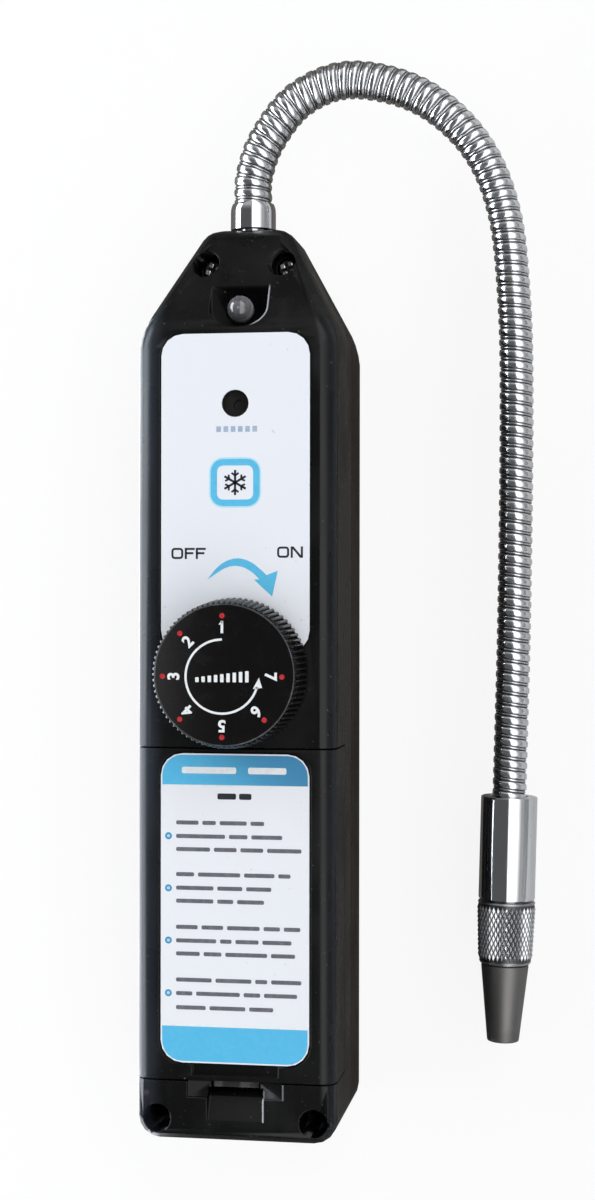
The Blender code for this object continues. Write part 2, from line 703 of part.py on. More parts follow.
def make_board():
    half = BOARD_WIDTH / 2
    low = BOARD_TOP - BOARD_THICKNESS
    bm = bmesh.new()
    bm.from_mesh(box("board_blank", (-half, BOARD_LOW_END, low), (half, BOARD_HIGH_END, BOARD_TOP)))
    run = BOARD_HIGH_END - BOARD_SHOULDER
    for side in (-1, 1):
        slice_off(bm, Vector((side * half, BOARD_SHOULDER, 0)),
                  Vector((side * run, half - BOARD_NOSE_WIDTH / 2, 0)))
    board = add_part("circuit_board", to_mesh(bm, "circuit_board"), (0.02, 0.16, 0.07), 0.45)
    holes = [tool_cylinder(f"board_hole_{number}", BOARD_SCREW_RADIUS + FIT_GAP, low - FIT_GAP,
                           BOARD_TOP + FIT_GAP, place, 12)
             for number, place in enumerate(BOARD_POST_PLACES, 1)]
    cut(board, *holes)
    for number, place in enumerate(BOARD_POST_PLACES, 1):
        screw = add_part(f"board_screw_{number}", screw_mesh(
            f"board_screw_{number}", BOARD_SCREW_HEAD_RADIUS, BOARD_SCREW_HEAD_HEIGHT,
            BOARD_SCREW_RADIUS, BOARD_SCREW_LENGTH), (0.6, 0.6, 0.6), 0.3, 1.0)
        screw.location = (*place, low - FIT_GAP)
        screw.rotation_euler = (math.pi, 0, 0)


def make_buzzer():
    base = BOARD_TOP + FIT_GAP
    top = base + BUZZER_HEIGHT
    port = top - BUZZER_PORT_DEPTH
    edge = BUZZER_PORT_RADIUS / 3
    buzzer = add_part("buzzer", turned("buzzer", [
        (0, port), (BUZZER_PORT_RADIUS, port), (BUZZER_PORT_RADIUS, top),
        (BUZZER_RADIUS - edge, top), (BUZZER_RADIUS, top - edge), (BUZZER_RADIUS, base),
        (0, base)]), (0.02, 0.02, 0.02), 0.5)
    buzzer.location = (0, BUZZER_Y, 0)


def make_lamp():
    flange_top = POCKET_FLOOR - CASE_WALL - FIT_GAP
    flange_low = flange_top - LAMP_FLANGE_HEIGHT
    profile = []
    for step in range(7):
        turn = math.pi / 2 * step / 6
        profile.append((LAMP_RADIUS * math.sin(turn), POCKET_FLOOR + LAMP_RADIUS * math.cos(turn)))
    profile += [(LAMP_RADIUS, flange_top), (LAMP_FLANGE_RADIUS, flange_top),
                (LAMP_FLANGE_RADIUS, flange_low), (0, flange_low)]
    lamp = add_part("indicator_led", turned("indicator_led", profile), (0.45, 0.45, 0.47), 0.15)
    lamp.location = (0, LAMP_Y, 0)
    legs = [tool_cylinder(f"lamp_leg_{side}", LAMP_LEG_RADIUS, BOARD_TOP + FIT_GAP,
                          flange_low + LAMP_FLANGE_HEIGHT / 2, (side * LAMP_LEG_SPREAD, LAMP_Y), 8)
            for side in (-1, 1)]
    join(lamp, *legs)


def make_board_parts():
    base = BOARD_TOP + FIT_GAP
    width, length, height = TRANSFORMER_SIZE
    x, y = TRANSFORMER_PLACE
    transformer = add_part("transformer", box(
        "transformer", (x - width / 2, y - length / 2, base),
        (x + width / 2, y + length / 2, base + height * 0.8)), (0.25, 0.18, 0.05), 0.5)
    join(transformer, tool_box(
        "winding", (x - width * 0.42, y - length * 0.3, base + height / 2),
        (x + width * 0.42, y + length * 0.3, base + height)))
    width, length, height = CHIP_SIZE
    x, y = CHIP_PLACE
    chip = add_part("control_chip", box(
        "control_chip", (x - width / 2, y - length / 2, base + height / 6),
        (x + width / 2, y + length / 2, base + height)), (0.02, 0.02, 0.02), 0.5)
    pitch = length / 4
    legs = []
    for row in range(4):
        leg_y = y - length / 2 + pitch * (row + 0.5)
        legs.append(tool_box(f"chip_leg_{row}", (x - width * 0.7, leg_y - pitch / 5, base),
                             (x + width * 0.7, leg_y + pitch / 5, base + height / 3)))
    join(chip, *legs)
    for number, ((radius, height), place) in enumerate(zip(CAPACITOR_SIZES, CAPACITOR_PLACES), 1):
        edge = radius / 8
        capacitor = add_part(f"capacitor_{number}", turned(f"capacitor_{number}", [
            (0, base + height), (radius - edge, base + height), (radius, base + height - edge),
            (radius, base + 5 * edge), (radius - edge, base + 4 * edge), (radius, base + 3 * edge),
            (radius, base), (0, base)], sides=16), (0.03, 0.05, 0.12), 0.35)
        capacitor.location = (*place, 0)


def make_knob_set():
    base = BOARD_TOP + FIT_GAP
    can_top = base + POT_HEIGHT
    bush_top = can_top + BUSH_HEIGHT
    bore = SHAFT_RADIUS + FIT_GAP
    shaft_low = bush_top - SHAFT_IN_BODY
    pot = add_part("potentiometer", turned("potentiometer", [
        (0, shaft_low - FIT_GAP), (bore, shaft_low - FIT_GAP), (bore, bush_top),
        (BUSH_RADIUS, bush_top), (BUSH_RADIUS, can_top), (POT_RADIUS, can_top), (POT_RADIUS, base),
        (0, base)]), (0.45, 0.45, 0.45), 0.35, 1.0)
    pot.location = (0, KNOB_Y, 0)

    shaft_top = SHAFT_IN_KNOB
    shaft_bottom = shaft_low - KNOB_BASE
    shaft = add_part("potentiometer_shaft", turned("potentiometer_shaft", [
        (0, shaft_top), (SHAFT_RADIUS, shaft_top), (SHAFT_RADIUS, shaft_bottom),
        (0, shaft_bottom)], sides=16), (0.6, 0.6, 0.6), 0.3, 1.0)
    shaft.location = (0, KNOB_Y, KNOB_BASE)

    rim = KNOB_HEIGHT - KNOB_RIM_HEIGHT
    mesh = turned("sensitivity_knob", [
        (0, KNOB_HEIGHT), (KNOB_FACE_RADIUS, KNOB_HEIGHT),
        (KNOB_FACE_RADIUS + KNOB_RIM_HEIGHT, rim), (KNOB_RADIUS, 0), (0, 0)], sides=2 * KNOB_RIBS)
    press_in_ribs(mesh, KNOB_RIBS, KNOB_RIB_DEPTH, KNOB_FACE_RADIUS, rim + KNOB_RIM_HEIGHT / 2)
    knob = add_part("sensitivity_knob", mesh, (0.012, 0.012, 0.014), 0.35)
    knob.location = (0, KNOB_Y, KNOB_BASE)
    ceiling = KNOB_HEIGHT - KNOB_FACE_THICKNESS
    skirt = KNOB_FACE_RADIUS - KNOB_SKIRT
    hollow = add_tool("knob_hollow", turned("knob_hollow", [
        (KNOB_HUB_RADIUS, ceiling), (skirt, ceiling), (skirt, -KNOB_SKIRT),
        (KNOB_HUB_RADIUS, -KNOB_SKIRT)], closed=True, sides=FINE_SIDES))
    knob_bore = tool_cylinder("knob_bore", bore, -KNOB_SKIRT, SHAFT_IN_KNOB + FIT_GAP)
    for tool in (hollow, knob_bore):
        tool.location = knob.location
    cut(knob, hollow, knob_bore)


def press_in_ribs(mesh, ribs, depth, least_radius, top):
    # Every second line of points down a round side is pressed in, which leaves upright ribs.
    bm = bmesh.new()
    bm.from_mesh(mesh)
    middle = [vertex for vertex in bm.verts if math.hypot(vertex.co.x, vertex.co.y) < depth]
    bmesh.ops.dissolve_verts(bm, verts=middle)
    bm.to_mesh(mesh)
    bm.free()
    step = math.pi / ribs
    for vertex in mesh.vertices:
        radius = math.hypot(vertex.co.x, vertex.co.y)
        line = round(math.atan2(vertex.co.y, vertex.co.x) / step)
        if line % 2 and radius > least_radius and vertex.co.z < top:
            vertex.co.x *= 1 - depth / radius
            vertex.co.y *= 1 - depth / radius


def make_batteries():
    upper_plate = BAY_TOP - FIT_GAP
    lower_plate = BAY_BOTTOM + FIT_GAP
    metal = (0.75, 0.74, 0.70)
    low, high = CELL_HEIGHT - CONTACT_HEIGHT / 2, CELL_HEIGHT + CONTACT_HEIGHT / 2
    for number, side in enumerate((-1, 1), 1):
        middle = side * CELL_SPREAD
        add_part(f"contact_plate_{number}", box(
            f"contact_plate_{number}",
            (middle - CONTACT_WIDTH / 2, upper_plate - CONTACT_THICKNESS, low),
            (middle + CONTACT_WIDTH / 2, upper_plate, high)), metal, 0.3, 1.0)
    add_part("contact_bridge", box(
        "contact_bridge", (-BRIDGE_WIDTH / 2, lower_plate, low),
        (BRIDGE_WIDTH / 2, lower_plate + CONTACT_THICKNESS, high)), metal, 0.3, 1.0)

    upper_face = upper_plate - CONTACT_THICKNESS - FIT_GAP
    lower_face = lower_plate + CONTACT_THICKNESS + FIT_GAP
    whole = CELL_LENGTH + CELL_NUB_HEIGHT
    add_cell(1, -CELL_SPREAD, upper_face - whole, 1)
    add_cell(2, CELL_SPREAD, lower_face + whole, -1)
    add_spring(1, -CELL_SPREAD, lower_face, upper_face - whole - FIT_GAP)
    add_spring(2, CELL_SPREAD, upper_face, lower_face + whole + FIT_GAP)


def add_cell(number, x, foot, way):
    edge = CELL_NUB_HEIGHT / 2
    cell = add_part(f"battery_cell_{number}", turned(f"battery_cell_{number}", [
        (0, CELL_LENGTH + CELL_NUB_HEIGHT), (CELL_NUB_RADIUS, CELL_LENGTH + CELL_NUB_HEIGHT),
        (CELL_NUB_RADIUS, CELL_LENGTH), (CELL_RADIUS - edge, CELL_LENGTH),
        (CELL_RADIUS, CELL_LENGTH - edge), (CELL_RADIUS, edge), (CELL_RADIUS - edge, 0),
        (0, 0)]), (0.10, 0.28, 0.16), 0.3, 0.3)
    cell.location = (x, foot, CELL_HEIGHT)
    cell.rotation_euler = (-way * math.pi / 2, 0, 0)


def add_spring(number, x, foot, tip):
    way = 1 if tip > foot else -1
    start = foot + way * SPRING_WIRE_RADIUS
    length = abs(tip - foot) - 2 * SPRING_WIRE_RADIUS
    points = []
    turn_points = 12
    for index in range(SPRING_TURNS * turn_points + 1):
        share = index / (SPRING_TURNS * turn_points)
        angle = 2 * math.pi * index / turn_points
        radius = SPRING_BASE_RADIUS + (SPRING_TIP_RADIUS - SPRING_BASE_RADIUS) * share
        points.append((x + radius * math.cos(angle), start + way * length * share,
                       CELL_HEIGHT + radius * math.sin(angle)))
    add_part(f"battery_spring_{number}", wire(f"battery_spring_{number}", points,
                                              SPRING_WIRE_RADIUS, 1), (0.75, 0.74, 0.70), 0.3, 1.0)


def make_leads():
    resting = BOARD_TOP + FIT_GAP + LEAD_RADIUS
    colours = ((0.55, 0.02, 0.02), (0.02, 0.02, 0.02))
    for number, (side, colour) in enumerate(zip((-1, 1), colours), 1):
        x = side * LEAD_SPREAD
        route = [Vector((x, BAY_TOP - BAY_WALL / 2, LEAD_HEIGHT)),
                 Vector((x, BAY_TOP + 1.6 * BAY_WALL, LEAD_HEIGHT)),
                 Vector((3 * x, BAY_TOP + 3 * BAY_WALL, (LEAD_HEIGHT + resting) / 2)),
                 Vector((4 * x, BAY_TOP + 4.2 * BAY_WALL, resting))]
        add_part(f"battery_lead_{number}", wire(
            f"battery_lead_{number}", smooth_route(route, 2.5 * LEAD_RADIUS), LEAD_RADIUS),
            colour, 0.5)
    over = BOARD_TOP + FIT_GAP + SENSOR_LEAD_RADIUS
    side = 1.7 * LAMP_FLANGE_RADIUS
    mouth = CASE_TOP - STEM_LENGTH
    route = [Vector((side, LAMP_Y - LAMP_RADIUS, over)),
             Vector((side, BOARD_HIGH_END - SENSOR_LEAD_RADIUS, over)),
             Vector((side * 0.75, BOARD_HIGH_END + 2.4 * SENSOR_LEAD_RADIUS, over - SENSOR_LEAD_RADIUS)),
             Vector((side * 0.15, mouth - 2 * SENSOR_LEAD_RADIUS, MID_DEPTH + 0.9 * SENSOR_LEAD_RADIUS)),
             Vector((0, mouth, MID_DEPTH)),
             Vector((0, CASE_TOP, MID_DEPTH)),
             Vector((0, CASE_TOP + FERRULE_HEIGHT - NECK_SOCKET_DEPTH - FIT_GAP, MID_DEPTH))]
    add_part("sensor_lead", wire("sensor_lead", smooth_route(route, 1.5 * SENSOR_LEAD_RADIUS),
                                 SENSOR_LEAD_RADIUS), (0.03, 0.03, 0.03), 0.5)


def make_neck_fitting():
    socket = NECK_RADIUS + FIT_GAP
    floor = FERRULE_HEIGHT - NECK_SOCKET_DEPTH
    shoulder = FERRULE_HEIGHT - (FERRULE_RADIUS - FERRULE_TIP_RADIUS)
    ferrule = add_part("neck_ferrule", turned("neck_ferrule", [
        (socket, FERRULE_HEIGHT), (FERRULE_TIP_RADIUS, FERRULE_HEIGHT), (FERRULE_RADIUS, shoulder),
        (FERRULE_RADIUS, FIT_GAP), (STEM_RADIUS, FIT_GAP), (STEM_RADIUS, -STEM_LENGTH),
        (STEM_BORE, -STEM_LENGTH), (STEM_BORE, floor), (socket, floor)], closed=True),
        (0.75, 0.75, 0.77), 0.12, 1.0)
    ferrule.location = (0, CASE_TOP, MID_DEPTH)
    ferrule.rotation_euler = (-math.pi / 2, 0, 0)
    nut_top = -CASE_WALL - FIT_GAP
    nut = add_part("neck_locknut", cylinder("neck_locknut", LOCKNUT_RADIUS,
                                            nut_top - LOCKNUT_THICKNESS, nut_top, sides=6),
                   (0.7, 0.7, 0.7), 0.3, 1.0)
    hole = tool_cylinder("locknut_hole", STEM_RADIUS + FIT_GAP, nut_top - 2 * LOCKNUT_THICKNESS,
                         CASE_WALL)
    for item in (nut, hole):
        item.location = ferrule.location
        item.rotation_euler = ferrule.rotation_euler
    cut(nut, hole)


def neck_radius(distance):
    # Wider in the tight bend, where the wound strip opens, and slim along the straight run.
    share = (distance - NECK_THICK_UNTIL) / (NECK_THIN_FROM - NECK_THICK_UNTIL)
    share = min(1, max(0, share))
    ease = share * share * (3 - 2 * share)
    return NECK_BEND_RADIUS + (NECK_RADIUS - NECK_BEND_RADIUS) * ease


def neck_profile(first_rib, last_rib, pitch, length):
    # One section, from groove to groove: ribs outside, a bore inside, and a spigot at its far end
    # that reaches into the bore of the next section.
    at_ferrule, at_probe = first_rib == 0, last_rib == NECK_RIBS
    start = first_rib * pitch + (FIT_GAP if at_ferrule else NECK_SLOT / 2)
    end = last_rib * pitch - (FIT_GAP if at_probe else NECK_SLOT / 2)
    groove = NECK_GROOVE_WIDTH / 2
    outer = []
    if at_ferrule:
        outer += [(NECK_RADIUS, FIT_GAP - NECK_SOCKET_DEPTH), (NECK_RADIUS, start)]
    outer.append((neck_radius(start) - NECK_GROOVE_DEPTH, start))
    for rib in range(first_rib, last_rib):
        crown_start = max(rib * pitch, start) + groove
        crown_end = min((rib + 1) * pitch, end) - groove
        outer.append((neck_radius(crown_start), crown_start))
        outer.append((neck_radius(crown_end), crown_end))
        bottom = min((rib + 1) * pitch, end)
        outer.append((neck_radius(bottom) - NECK_GROOVE_DEPTH, bottom))
    if at_probe:
        bore_end = length + NECK_END_LENGTH - FIT_GAP
        outer += [(NECK_RADIUS, end), (NECK_RADIUS, bore_end)]
        inner = []
    else:
        reach = end + NECK_SLOT + SPIGOT_REACH
        bore_end = end - SPIGOT_REACH
        outer += [(SPIGOT_RADIUS, end), (SPIGOT_RADIUS, reach)]
        inner = [(SPIGOT_BORE, bore_end), (SPIGOT_BORE, reach)]
    low = outer[0][1]
    count = max(2, round((bore_end - low) / (2 * pitch)))
    bore = [(NECK_BORE, low + (bore_end - low) * step / count) for step in range(count + 1)]
    return outer[::-1] + bore + inner


def neck_line():
    fitting_top = CASE_TOP + FERRULE_HEIGHT
    points = [Vector((x, fitting_top + y, MID_DEPTH)) for x, y in NECK_ROUTE]
    return smooth_route(points, NECK_SLOT * 2)


def make_neck():
    line = neck_line()
    length = sum((b - a).length for a, b in zip(line, line[1:]))
    pitch = length / NECK_RIBS
    before = line[0] - (line[1] - line[0]).normalized() * NECK_SOCKET_DEPTH
    after = line[-1] + (line[-1] - line[-2]).normalized() * NECK_END_LENGTH
    curve = bpy.data.curves.new("neck_guide", "CURVE")
    curve.dimensions = "3D"
    spline = curve.splines.new("POLY")
    chain = [before] + line + [after]
    spline.points.add(len(chain) - 1)
    for point, place in zip(spline.points, chain):
        point.co = (*place, 1)
    guide = bpy.data.objects.new("neck_guide", curve)
    tools.objects.link(guide)
    guide.hide_render = True
    guide.display_type = "WIRE"

    ribs = [round(NECK_RIBS * section / NECK_SECTIONS) for section in range(NECK_SECTIONS + 1)]
    for number, (first_rib, last_rib) in enumerate(zip(ribs, ribs[1:]), 1):
        name = f"neck_section_{number}"
        profile = [(radius, height + NECK_SOCKET_DEPTH)
                   for radius, height in neck_profile(first_rib, last_rib, pitch, length)]
        straight = bpy.data.objects.new(name, turned(name, profile, closed=True, sides=NECK_SIDES))
        tools.objects.link(straight)
        bend = straight.modifiers.new("bend", "CURVE")
        bend.object = guide
        bend.deform_axis = "POS_Z"
        mesh = settled_mesh(straight)
        mesh.name = name
        pivot = at_distance(line, first_rib * pitch)
        mesh.transform(Matrix.Translation(-pivot))
        section = add_part(name, mesh, (0.75, 0.75, 0.77), 0.15, 1.0)
        if first_rib == 0:
            section.location = pivot
        else:
            section.parent = add_pivot(f"neck_joint_{number - 1}", pivot)
    return line


def add_pivot(name, place):
    pivot = bpy.data.objects.new(name, None)
    parts.objects.link(pivot)
    pivot.location = place
    return pivot


def make_probe(line):
    # Heights are measured from the top of the sleeve, along the probe, towards the tip.
    axis = add_pivot("probe_axis", line[-1])
    axis.rotation_mode = "QUATERNION"
    axis.rotation_quaternion = (line[-1] - line[-2]).to_track_quat("Z", "Y")
    chrome = (0.75, 0.75, 0.77)
    edge = SLEEVE_RADIUS / 10
    socket = NECK_RADIUS + FIT_GAP
    nose_end = SLEEVE_LENGTH + NOSE_LENGTH
    sleeve = add_part("probe_sleeve", turned("probe_sleeve", [
        (NOSE_BORE, nose_end), (NOSE_RADIUS, nose_end), (NOSE_RADIUS, SLEEVE_LENGTH),
        (SLEEVE_RADIUS - edge, SLEEVE_LENGTH), (SLEEVE_RADIUS, SLEEVE_LENGTH - edge),
        (SLEEVE_RADIUS, edge), (SLEEVE_RADIUS - edge, 0), (socket, 0), (socket, NECK_END_LENGTH),
        (SLEEVE_BORE, NECK_END_LENGTH), (SLEEVE_BORE, nose_end - NOSE_BORE_DEPTH),
        (NOSE_BORE, nose_end - NOSE_BORE_DEPTH)], closed=True), chrome, 0.08, 1.0)

    base = nose_end - NOSE_BORE_DEPTH + FIT_GAP
    base_radius = NOSE_BORE - FIT_GAP
    sensor_top = base + SENSOR_LENGTH
    sensor = add_part("sensor_element", turned("sensor_element", [
        (0, sensor_top), (SENSOR_RADIUS - edge, sensor_top), (SENSOR_RADIUS, sensor_top - edge),
        (SENSOR_RADIUS, base + SENSOR_BASE_HEIGHT), (base_radius, base + SENSOR_BASE_HEIGHT),
        (base_radius, base), (0, base)], sides=16), (0.7, 0.6, 0.3), 0.3, 1.0)

    start = SLEEVE_LENGTH + FIT_GAP
    end = start + COLLAR_LENGTH
    mesh = turned("knurled_collar", [
        (0, end), (COLLAR_TIP_RADIUS - edge, end), (COLLAR_TIP_RADIUS, end - edge),
        (COLLAR_RADIUS, start + edge), (COLLAR_RADIUS - edge, start), (0, start)],
        sides=2 * COLLAR_FLUTES)
    press_in_ribs(mesh, COLLAR_FLUTES, COLLAR_FLUTE_DEPTH, COLLAR_TIP_RADIUS - edge / 2, end + edge)
    collar = add_part("knurled_collar", mesh, (0.35, 0.35, 0.36), 0.3, 1.0)
    bore = tool_cylinder("collar_bore", NOSE_RADIUS + FIT_GAP, start - edge, end + edge)
    bore.parent = axis
    cut(collar, bore)

    cone = end + FIT_GAP
    tip_end = cone + TIP_LENGTH
    round_off = TIP_END_RADIUS / 6
    spigot = cone - TIP_SPIGOT_LENGTH
    tip = add_part("probe_tip", turned("probe_tip", [
        (TIP_HOLE, tip_end), (TIP_END_RADIUS - round_off, tip_end),
        (TIP_END_RADIUS, tip_end - round_off), (TIP_RADIUS, cone), (NOSE_RADIUS, cone),
        (NOSE_RADIUS, spigot), (TIP_BORE, spigot), (TIP_BORE, sensor_top + FIT_GAP),
        (TIP_HOLE, tip_end - TIP_END_WALL)], closed=True), (0.09, 0.085, 0.08), 0.55)
    for item in (sleeve, sensor, collar, tip):
        item.parent = axis


clear_scene()
parts = new_collection("refrigerant_leak_detector")
tools = new_collection("cutters")
make_front_shell()
make_rear_shell()
battery_cover = make_battery_cover()
labels = make_labels()
cover_hinge = add_pivot("cover_hinge", (0, COVER_TOP, CASE_DEPTH))
for hinged in (battery_cover, labels[1]):
    hinged.parent = cover_hinge
    hinged.matrix_parent_inverse = Matrix.Translation(-Vector(cover_hinge.location))
make_case_screws()
make_board()
make_buzzer()
make_lamp()
make_board_parts()
make_knob_set()
make_batteries()
make_leads()
make_neck_fitting()
make_probe(make_neck())
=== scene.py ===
# Looks of a hand-held refrigerant leak detector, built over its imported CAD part.
# Metres. The case lies on its flat back, +X is across it, +Y towards the neck, +Z out of the dial.

from math import atan2, cos, hypot, pi, radians, sin

import bmesh
import bpy
from mathutils import Matrix, Vector


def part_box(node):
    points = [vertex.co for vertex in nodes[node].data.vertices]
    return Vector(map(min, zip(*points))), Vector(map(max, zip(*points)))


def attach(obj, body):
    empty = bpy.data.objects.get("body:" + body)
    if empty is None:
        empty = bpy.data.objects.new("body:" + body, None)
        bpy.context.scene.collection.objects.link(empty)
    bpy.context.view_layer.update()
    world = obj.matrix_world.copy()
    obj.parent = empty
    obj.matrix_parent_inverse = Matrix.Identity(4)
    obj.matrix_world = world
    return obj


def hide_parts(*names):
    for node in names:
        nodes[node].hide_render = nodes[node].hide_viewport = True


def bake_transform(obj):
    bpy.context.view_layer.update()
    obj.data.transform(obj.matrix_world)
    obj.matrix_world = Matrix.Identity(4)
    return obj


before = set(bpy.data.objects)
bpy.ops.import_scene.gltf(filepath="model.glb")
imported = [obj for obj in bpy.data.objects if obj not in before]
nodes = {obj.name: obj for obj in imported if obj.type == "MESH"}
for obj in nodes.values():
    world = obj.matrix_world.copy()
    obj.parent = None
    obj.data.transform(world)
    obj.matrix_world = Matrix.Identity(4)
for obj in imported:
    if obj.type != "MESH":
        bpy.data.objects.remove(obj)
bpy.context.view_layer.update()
print("frame loaded,", len(nodes), "nodes")


# Node helpers


class Signal:
    # One socket in a node tree. Sums on it add Math nodes, so 1 - mask works as it is written.
    def __init__(self, tree, socket):
        self.tree, self.socket = tree, socket

    def maths(self, operation, first, second=0.0):
        return self.tree.node("ShaderNodeMath", {"operation": operation}, {0: first, 1: second})

    def __add__(self, other):
        return self.maths("ADD", self, other)

    def __radd__(self, other):
        return self.maths("ADD", other, self)

    def __sub__(self, other):
        return self.maths("SUBTRACT", self, other)

    def __rsub__(self, other):
        return self.maths("SUBTRACT", other, self)

    def __mul__(self, other):
        return self.maths("MULTIPLY", self, other)

    def __rmul__(self, other):
        return self.maths("MULTIPLY", other, self)

    def size(self):
        return self.maths("ABSOLUTE", self)

    def between(self, low, high):
        # 0 below low, 1 above high, with soft ends
        return self.tree.node("ShaderNodeMapRange", {"interpolation_type": "SMOOTHSTEP"},
                              {"Value": self, "From Min": low, "From Max": high})


class NodeTree:
    def __init__(self, tree):
        self.nodeTree = tree

    def node(self, kind, settings=None, values=None, output=0):
        made = self.nodeTree.nodes.new(kind)
        for name, value in (settings or {}).items():
            setattr(made, name, value)
        for name, value in (values or {}).items():
            self.feed(made.inputs[name], value)
        return Signal(self, made.outputs[output])

    def feed(self, socket, value):
        if isinstance(value, Signal):
            self.nodeTree.links.new(value.socket, socket)
        else:
            socket.default_value = value

    def parts(self, vector):
        split = self.node("ShaderNodeSeparateXYZ", values={0: vector})
        return [Signal(self, output) for output in split.socket.node.outputs]

    def mixColours(self, mask, first, second):
        return self.node("ShaderNodeMix", {"data_type": "RGBA"},
                         {0: mask, 6: tinted(first), 7: tinted(second)}, output=2)

    def reach(self, across, along):
        # Distance from an axis
        return self.node("ShaderNodeVectorMath", {"operation": "LENGTH"}, {
            0: self.node("ShaderNodeCombineXYZ", values={0: across, 1: along})}, output=1)


def tinted(colour):
    return colour if isinstance(colour, Signal) else (*colour, 1)


class Finish(NodeTree):
    # One material: its shader, and the patterns that most finishes here share
    def __init__(self, name, constants=None):
        self.material = bpy.data.materials.new(name)
        self.material.use_nodes = True
        super().__init__(self.material.node_tree)
        self.shader = self.nodeTree.nodes["Principled BSDF"]
        self.wear(constants or {})

    def wear(self, values):
        for name, value in values.items():
            if name == "Base Color":
                value = tinted(value)
            self.feed(self.shader.inputs[name], value)

    def paint(self, mask, colour):
        # Lays a colour over what the finish already shows, where the mask is 1
        socket = self.shader.inputs["Base Color"]
        shown = (Signal(self, socket.links[0].from_socket) if socket.links
                 else socket.default_value[:3])
        self.wear({"Base Color": self.mixColours(mask, shown, colour)})

    def place(self, stretch=(1, 1, 1), turn=(0, 0, 0), centre=(0, 0, 0)):
        seen = self.node("ShaderNodeTexCoord", output=3)
        return self.node("ShaderNodeMapping", {"vector_type": "TEXTURE"},
                         {"Vector": seen, "Location": centre, "Rotation": turn, "Scale": stretch})

    def noise(self, scale, detail=2.0, stretch=(1, 1, 1), roughness=0.5):
        return self.node("ShaderNodeTexNoise", values={
            "Vector": self.place(stretch), "Scale": scale, "Detail": detail,
            "Roughness": roughness})

    def bump(self, height, depth, strength=1.0, under=None):
        values = {"Height": height, "Distance": depth, "Strength": strength}
        if under:
            values["Normal"] = under
        return self.node("ShaderNodeBump", values=values)

    def eased(self, radius):
        # Rounds the sharp edges for the light, as a mould or a file does
        return self.node("ShaderNodeBevel", {"samples": 6}, {"Radius": radius})

    def attribute(self, name):
        return self.node("ShaderNodeAttribute", {"attribute_name": name}, output=2)


# Piece helpers


# How near corners are joined, how flat faces are merged and how large faces lead the shading
meshCare = {
    "sameSpot": 1e-7,
    "joinWithin": 2e-6,
    "flatDegrees": 0.4,
    "areaWeight": 80,
}


def makeObject(name, bm, finish, sharp=None):
    # Makes a finished bmesh an object at the origin
    mesh = bpy.data.meshes.new(name)
    bm.to_mesh(mesh)
    bm.free()
    mesh.materials.append(finish.material)
    mesh.shade_smooth()
    if sharp:
        mesh.set_sharp_from_angle(angle=radians(sharp))
    made = bpy.data.objects.new(name, mesh)
    bpy.context.scene.collection.objects.link(made)
    return made


def finishPiece(name, bm, finish, body, stands=(), sharp=35):
    # Makes a finished bmesh a piece that moves with a body of the part
    piece = makeObject(name, bm, finish, sharp)
    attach(piece, body)
    if stands:
        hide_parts(*stands)
    return piece


def spinProfile(profile, steps):
    # A turned form round Z, from (radius, height) points, closed where it meets the axis
    bm = bmesh.new()
    line = [bm.verts.new((radius, 0, height)) for radius, height in profile]
    for lower, upper in zip(line, line[1:]):
        bm.edges.new((lower, upper))
    bmesh.ops.spin(bm, geom=bm.verts[:] + bm.edges[:], cent=(0, 0, 0), axis=(0, 0, 1),
                   angle=2 * pi, steps=steps, use_merge=True)
    bmesh.ops.remove_doubles(bm, verts=bm.verts, dist=meshCare["sameSpot"])
    bmesh.ops.recalc_face_normals(bm, faces=bm.faces)
    return bm


def stand(bm, place, direction=(0, 0, 1)):
    # Moves a form from the origin to its place, with its Z along a direction
    turn = Vector(direction).to_track_quat("Z", "Y").to_matrix().to_4x4()
    bmesh.ops.transform(bm, matrix=Matrix.Translation(place) @ turn, verts=bm.verts)


def smoothCopy(nodeName, finish, body, sharp=35):
    # The CAD solid with its triangles joined, so that its rounded edges shade smoothly
    bm = bmesh.new()
    bm.from_mesh(nodes[nodeName].data)
    bmesh.ops.remove_doubles(bm, verts=bm.verts, dist=meshCare["joinWithin"])
    bmesh.ops.dissolve_limit(bm, angle_limit=radians(meshCare["flatDegrees"]),
                             verts=bm.verts[:], edges=bm.edges[:])
    piece = finishPiece(nodeName + "_skin", bm, finish, body, [nodeName], sharp)
    steady = piece.modifiers.new("flat faces stay flat", "WEIGHTED_NORMAL")
    steady.keep_sharp = True
    steady.weight = meshCare["areaWeight"]


def coat(finish, *nodeNames):
    # Gives CAD pieces that stay visible their finish
    for nodeName in nodeNames:
        for materialSlot in nodes[nodeName].material_slots:
            materialSlot.material = finish.material


# Camera, fitted to the case's edges, the dial and the run of the neck

cameraPlan = {
    "eye": (0.07396, 0.01587, 0.42129),
    "turnDegrees": (-0.07, 9.171, 0.071),
    "lens": 61.39,
    "sensorWidth": 36,
    "nearest": 0.01,
}
cameraData = bpy.data.cameras.new("camera")
cameraData.lens = cameraPlan["lens"]
cameraData.sensor_width = cameraPlan["sensorWidth"]
cameraData.clip_start = cameraPlan["nearest"]
camera = bpy.data.objects.new("camera", cameraData)
camera.location = cameraPlan["eye"]
camera.rotation_euler = [radians(value) for value in cameraPlan["turnDegrees"]]
bpy.context.scene.collection.objects.link(camera)
bpy.context.scene.camera = camera
bpy.context.scene.view_settings.view_transform = "Standard"
print("camera placed")

# Floor that curves up into a backdrop, and soft studio light

